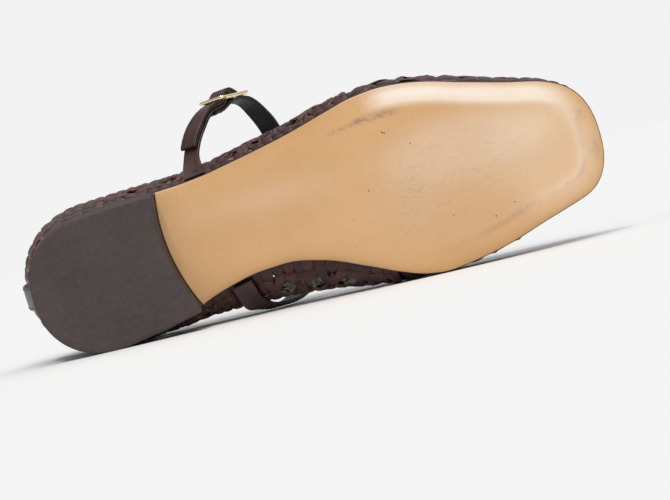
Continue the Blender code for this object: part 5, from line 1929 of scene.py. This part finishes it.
def make_bottom(looks):
    edges = (SOLE_LOWER_EDGE, SOLE_UPPER_EDGE)
    materials = [looks["sole"], looks["edge"], looks["edge"]]
    outsole = plate("sole", 0.0, edges, sole_underside, materials, SOLE_PAINTED_TO, sole_wear_and_glare)
    carried(outsole, "outsole")
    inset = SOLE_LIP + WALL + WEAVE_RELIEF + GAP
    edges = (INSOLE_LOWER_EDGE, INSOLE_UPPER_EDGE)
    materials = [looks["insole"]] * 3
    insole = plate("footbed", inset, edges, feather_height, materials, INSOLE_EDGE_TO, insole_wear)
    carried(insole, "insole")
    seam = TOP_PIECE_THICKNESS
    top = HEEL_HEIGHT - GAP
    block = heel_solid("heel_lift", seam + GAP, top, LIFT_LOWER_EDGE, LIFT_UPPER_EDGE, looks["heel"])
    carried(block, "heel_block")
    piece = heel_solid("heel_tip", 0.0, seam, TIP_LOWER_EDGE, TIP_UPPER_EDGE, looks["rubber"])
    carried(piece, "heel_top_piece")


def make_strap_pieces(looks):
    """The three straps and their seams. Returns the long strap's line."""
    materials = [looks["strap"], looks["edge"], looks["lining"]]
    lines = []
    for name, node, line, width, thickness in (
        ("strap_long", "instep_strap", instep_strap_line(), STRAP_WIDTH, STRAP_THICKNESS),
        ("strap_short", "buckle_strap", buckle_strap_line(), STRAP_WIDTH, BUCKLE_STRAP_THICKNESS),
        ("back_tab", "back_strip", back_strip_line(), BACK_STRIP_WIDTH, BACK_STRIP_THICKNESS),
    ):
        line = even_line(*line, STRAP_STEP)
        carried(strap(name, line, width, thickness, materials), node)
        build = Builder()
        for side in (-1, 1):
            lift = thickness / 2 * FACE_AT_STITCHES + STITCH_LIFT
            stitch_row(build, line, side * (width / 2 - STITCH_FROM_EDGE), lift)
        carried(build.build(name + "_seams", [looks["thread"]]), node)
        lines.append(line)
    return lines[0]


def punched_holes(looks, line):
    """Round holes down the long strap, each a dark dish of painted shade in place of an open hole, with a
    pressed rim, on both faces.
    """
    centres, normals, at = line
    side, up = frames(centres, normals)
    build = Builder()
    radii = HOLE_RADIUS * np.array([radius for radius, _ in HOLE_DISH])
    for share in HOLE_PLACES:
        centre, across, out = (sampled([share * at[-1]], at, rows) for rows in (centres, side, up))
        across, out = unit(across), unit(out)
        way = np.cross(across, out)
        for face in (-1, 1):
            lifts = [face * (STRAP_THICKNESS / 2 + height / 1000) for _, height in HOLE_DISH]
            middles = centre + out * np.array(lifts)[:, None]
            build.add(round_rings(middles, across, way, radii, HOLE_SIDES))
    carried(build.build("strap_hole_shades", [looks["hole"]]), "instep_strap")


def make_buckle_frame(looks):
    across = np.cross(BUCKLE_TANGENT, BUCKLE_NORMAL)
    bar = bar_height()
    ring = []
    for along, side in rounded_rectangle(BUCKLE_LENGTH, BUCKLE_WIDTH, BUCKLE_CORNER, CORNER_STEPS):
        lift = bar * (1 - along**2 / (BUCKLE_LENGTH / 2) ** 2)
        ring.append(near_buckle(along, lift) + across * side)
    ring = closed_line(np.array(ring))
    run = run_along(ring)
    ring = sampled(np.linspace(0, run[-1], FRAME_STEPS, endpoint=False), run, ring)
    build = Builder()
    add_loop(build, ring, np.broadcast_to(BUCKLE_NORMAL, ring.shape), FRAME_WIDTH, FRAME_THICKNESS)
    ends = np.array([near_buckle(0.0, bar) + across * side * BUCKLE_WIDTH / 2 for side in BAR_PLACES])
    add_rod(build, ends, BAR_WIDTH)
    carried(build.build("buckle_bow", [looks["gold"]]), "buckle_frame")


def make_buckle_pin(looks):
    """The pin: from the bar over the strap, through its hole and onto the frame's far end."""
    over = STRAP_THICKNESS / 2 + PRONG_WIRE / 2 + GAP + PRONG_LIFT
    rest = BUCKLE_WIRE / 2 + GAP + PRONG_WIRE / 2
    start = buckle_layer(np.linspace(0.03, 0.20, 4), -over)[0]
    end = [near_buckle(share * BUCKLE_LENGTH, rest) for share in (0.46, 0.53)]
    line = np.vstack([start, end])
    run = run_along(line)
    at = np.linspace(0, run[-1], PIN_STEPS)
    line = softened_line(sampled(at, run, line), PIN_EASINGS)
    pressed = PIN_PRESSED_AT_START * (1 - smooth(at / (at[-1] * PIN_START_SHARE)))
    pressed += PIN_PRESSED_ALONG * np.sin(math.pi * np.clip(at / (at[-1] * PIN_PRESSED_SHARE), 0, 1))
    tip = np.sqrt(np.clip((at[-1] - at) / PIN_TIP, 0, 1))
    build = Builder()
    widths = PRONG_WIRE * (PIN_TIP_SHARE + (1 - PIN_TIP_SHARE) * tip)
    add_rod(build, line - BUCKLE_NORMAL * pressed[:, None], widths)
    carried(build.build("buckle_pin", [looks["gold"]]), "buckle_prong")


def main():
    looks = {
        "woven": woven_leather(),
        "strap": strap_leather(),
        "edge": edge_paint(),
        "lining": lining_leather(),
        "sole": sole_leather(),
        "heel": heel_leather(),
        "rubber": heel_rubber(),
        "insole": insole_leather(),
        "gold": gold(),
        "thread": thread(),
        "hole": hole_shade(),
    }
    make_upper(looks)
    make_bottom(looks)
    punched_holes(looks, make_strap_pieces(looks))
    make_buckle_frame(looks)
    make_buckle_pin(looks)
    backdrop()
    make_floor()
    main_camera()
    lights()


main()
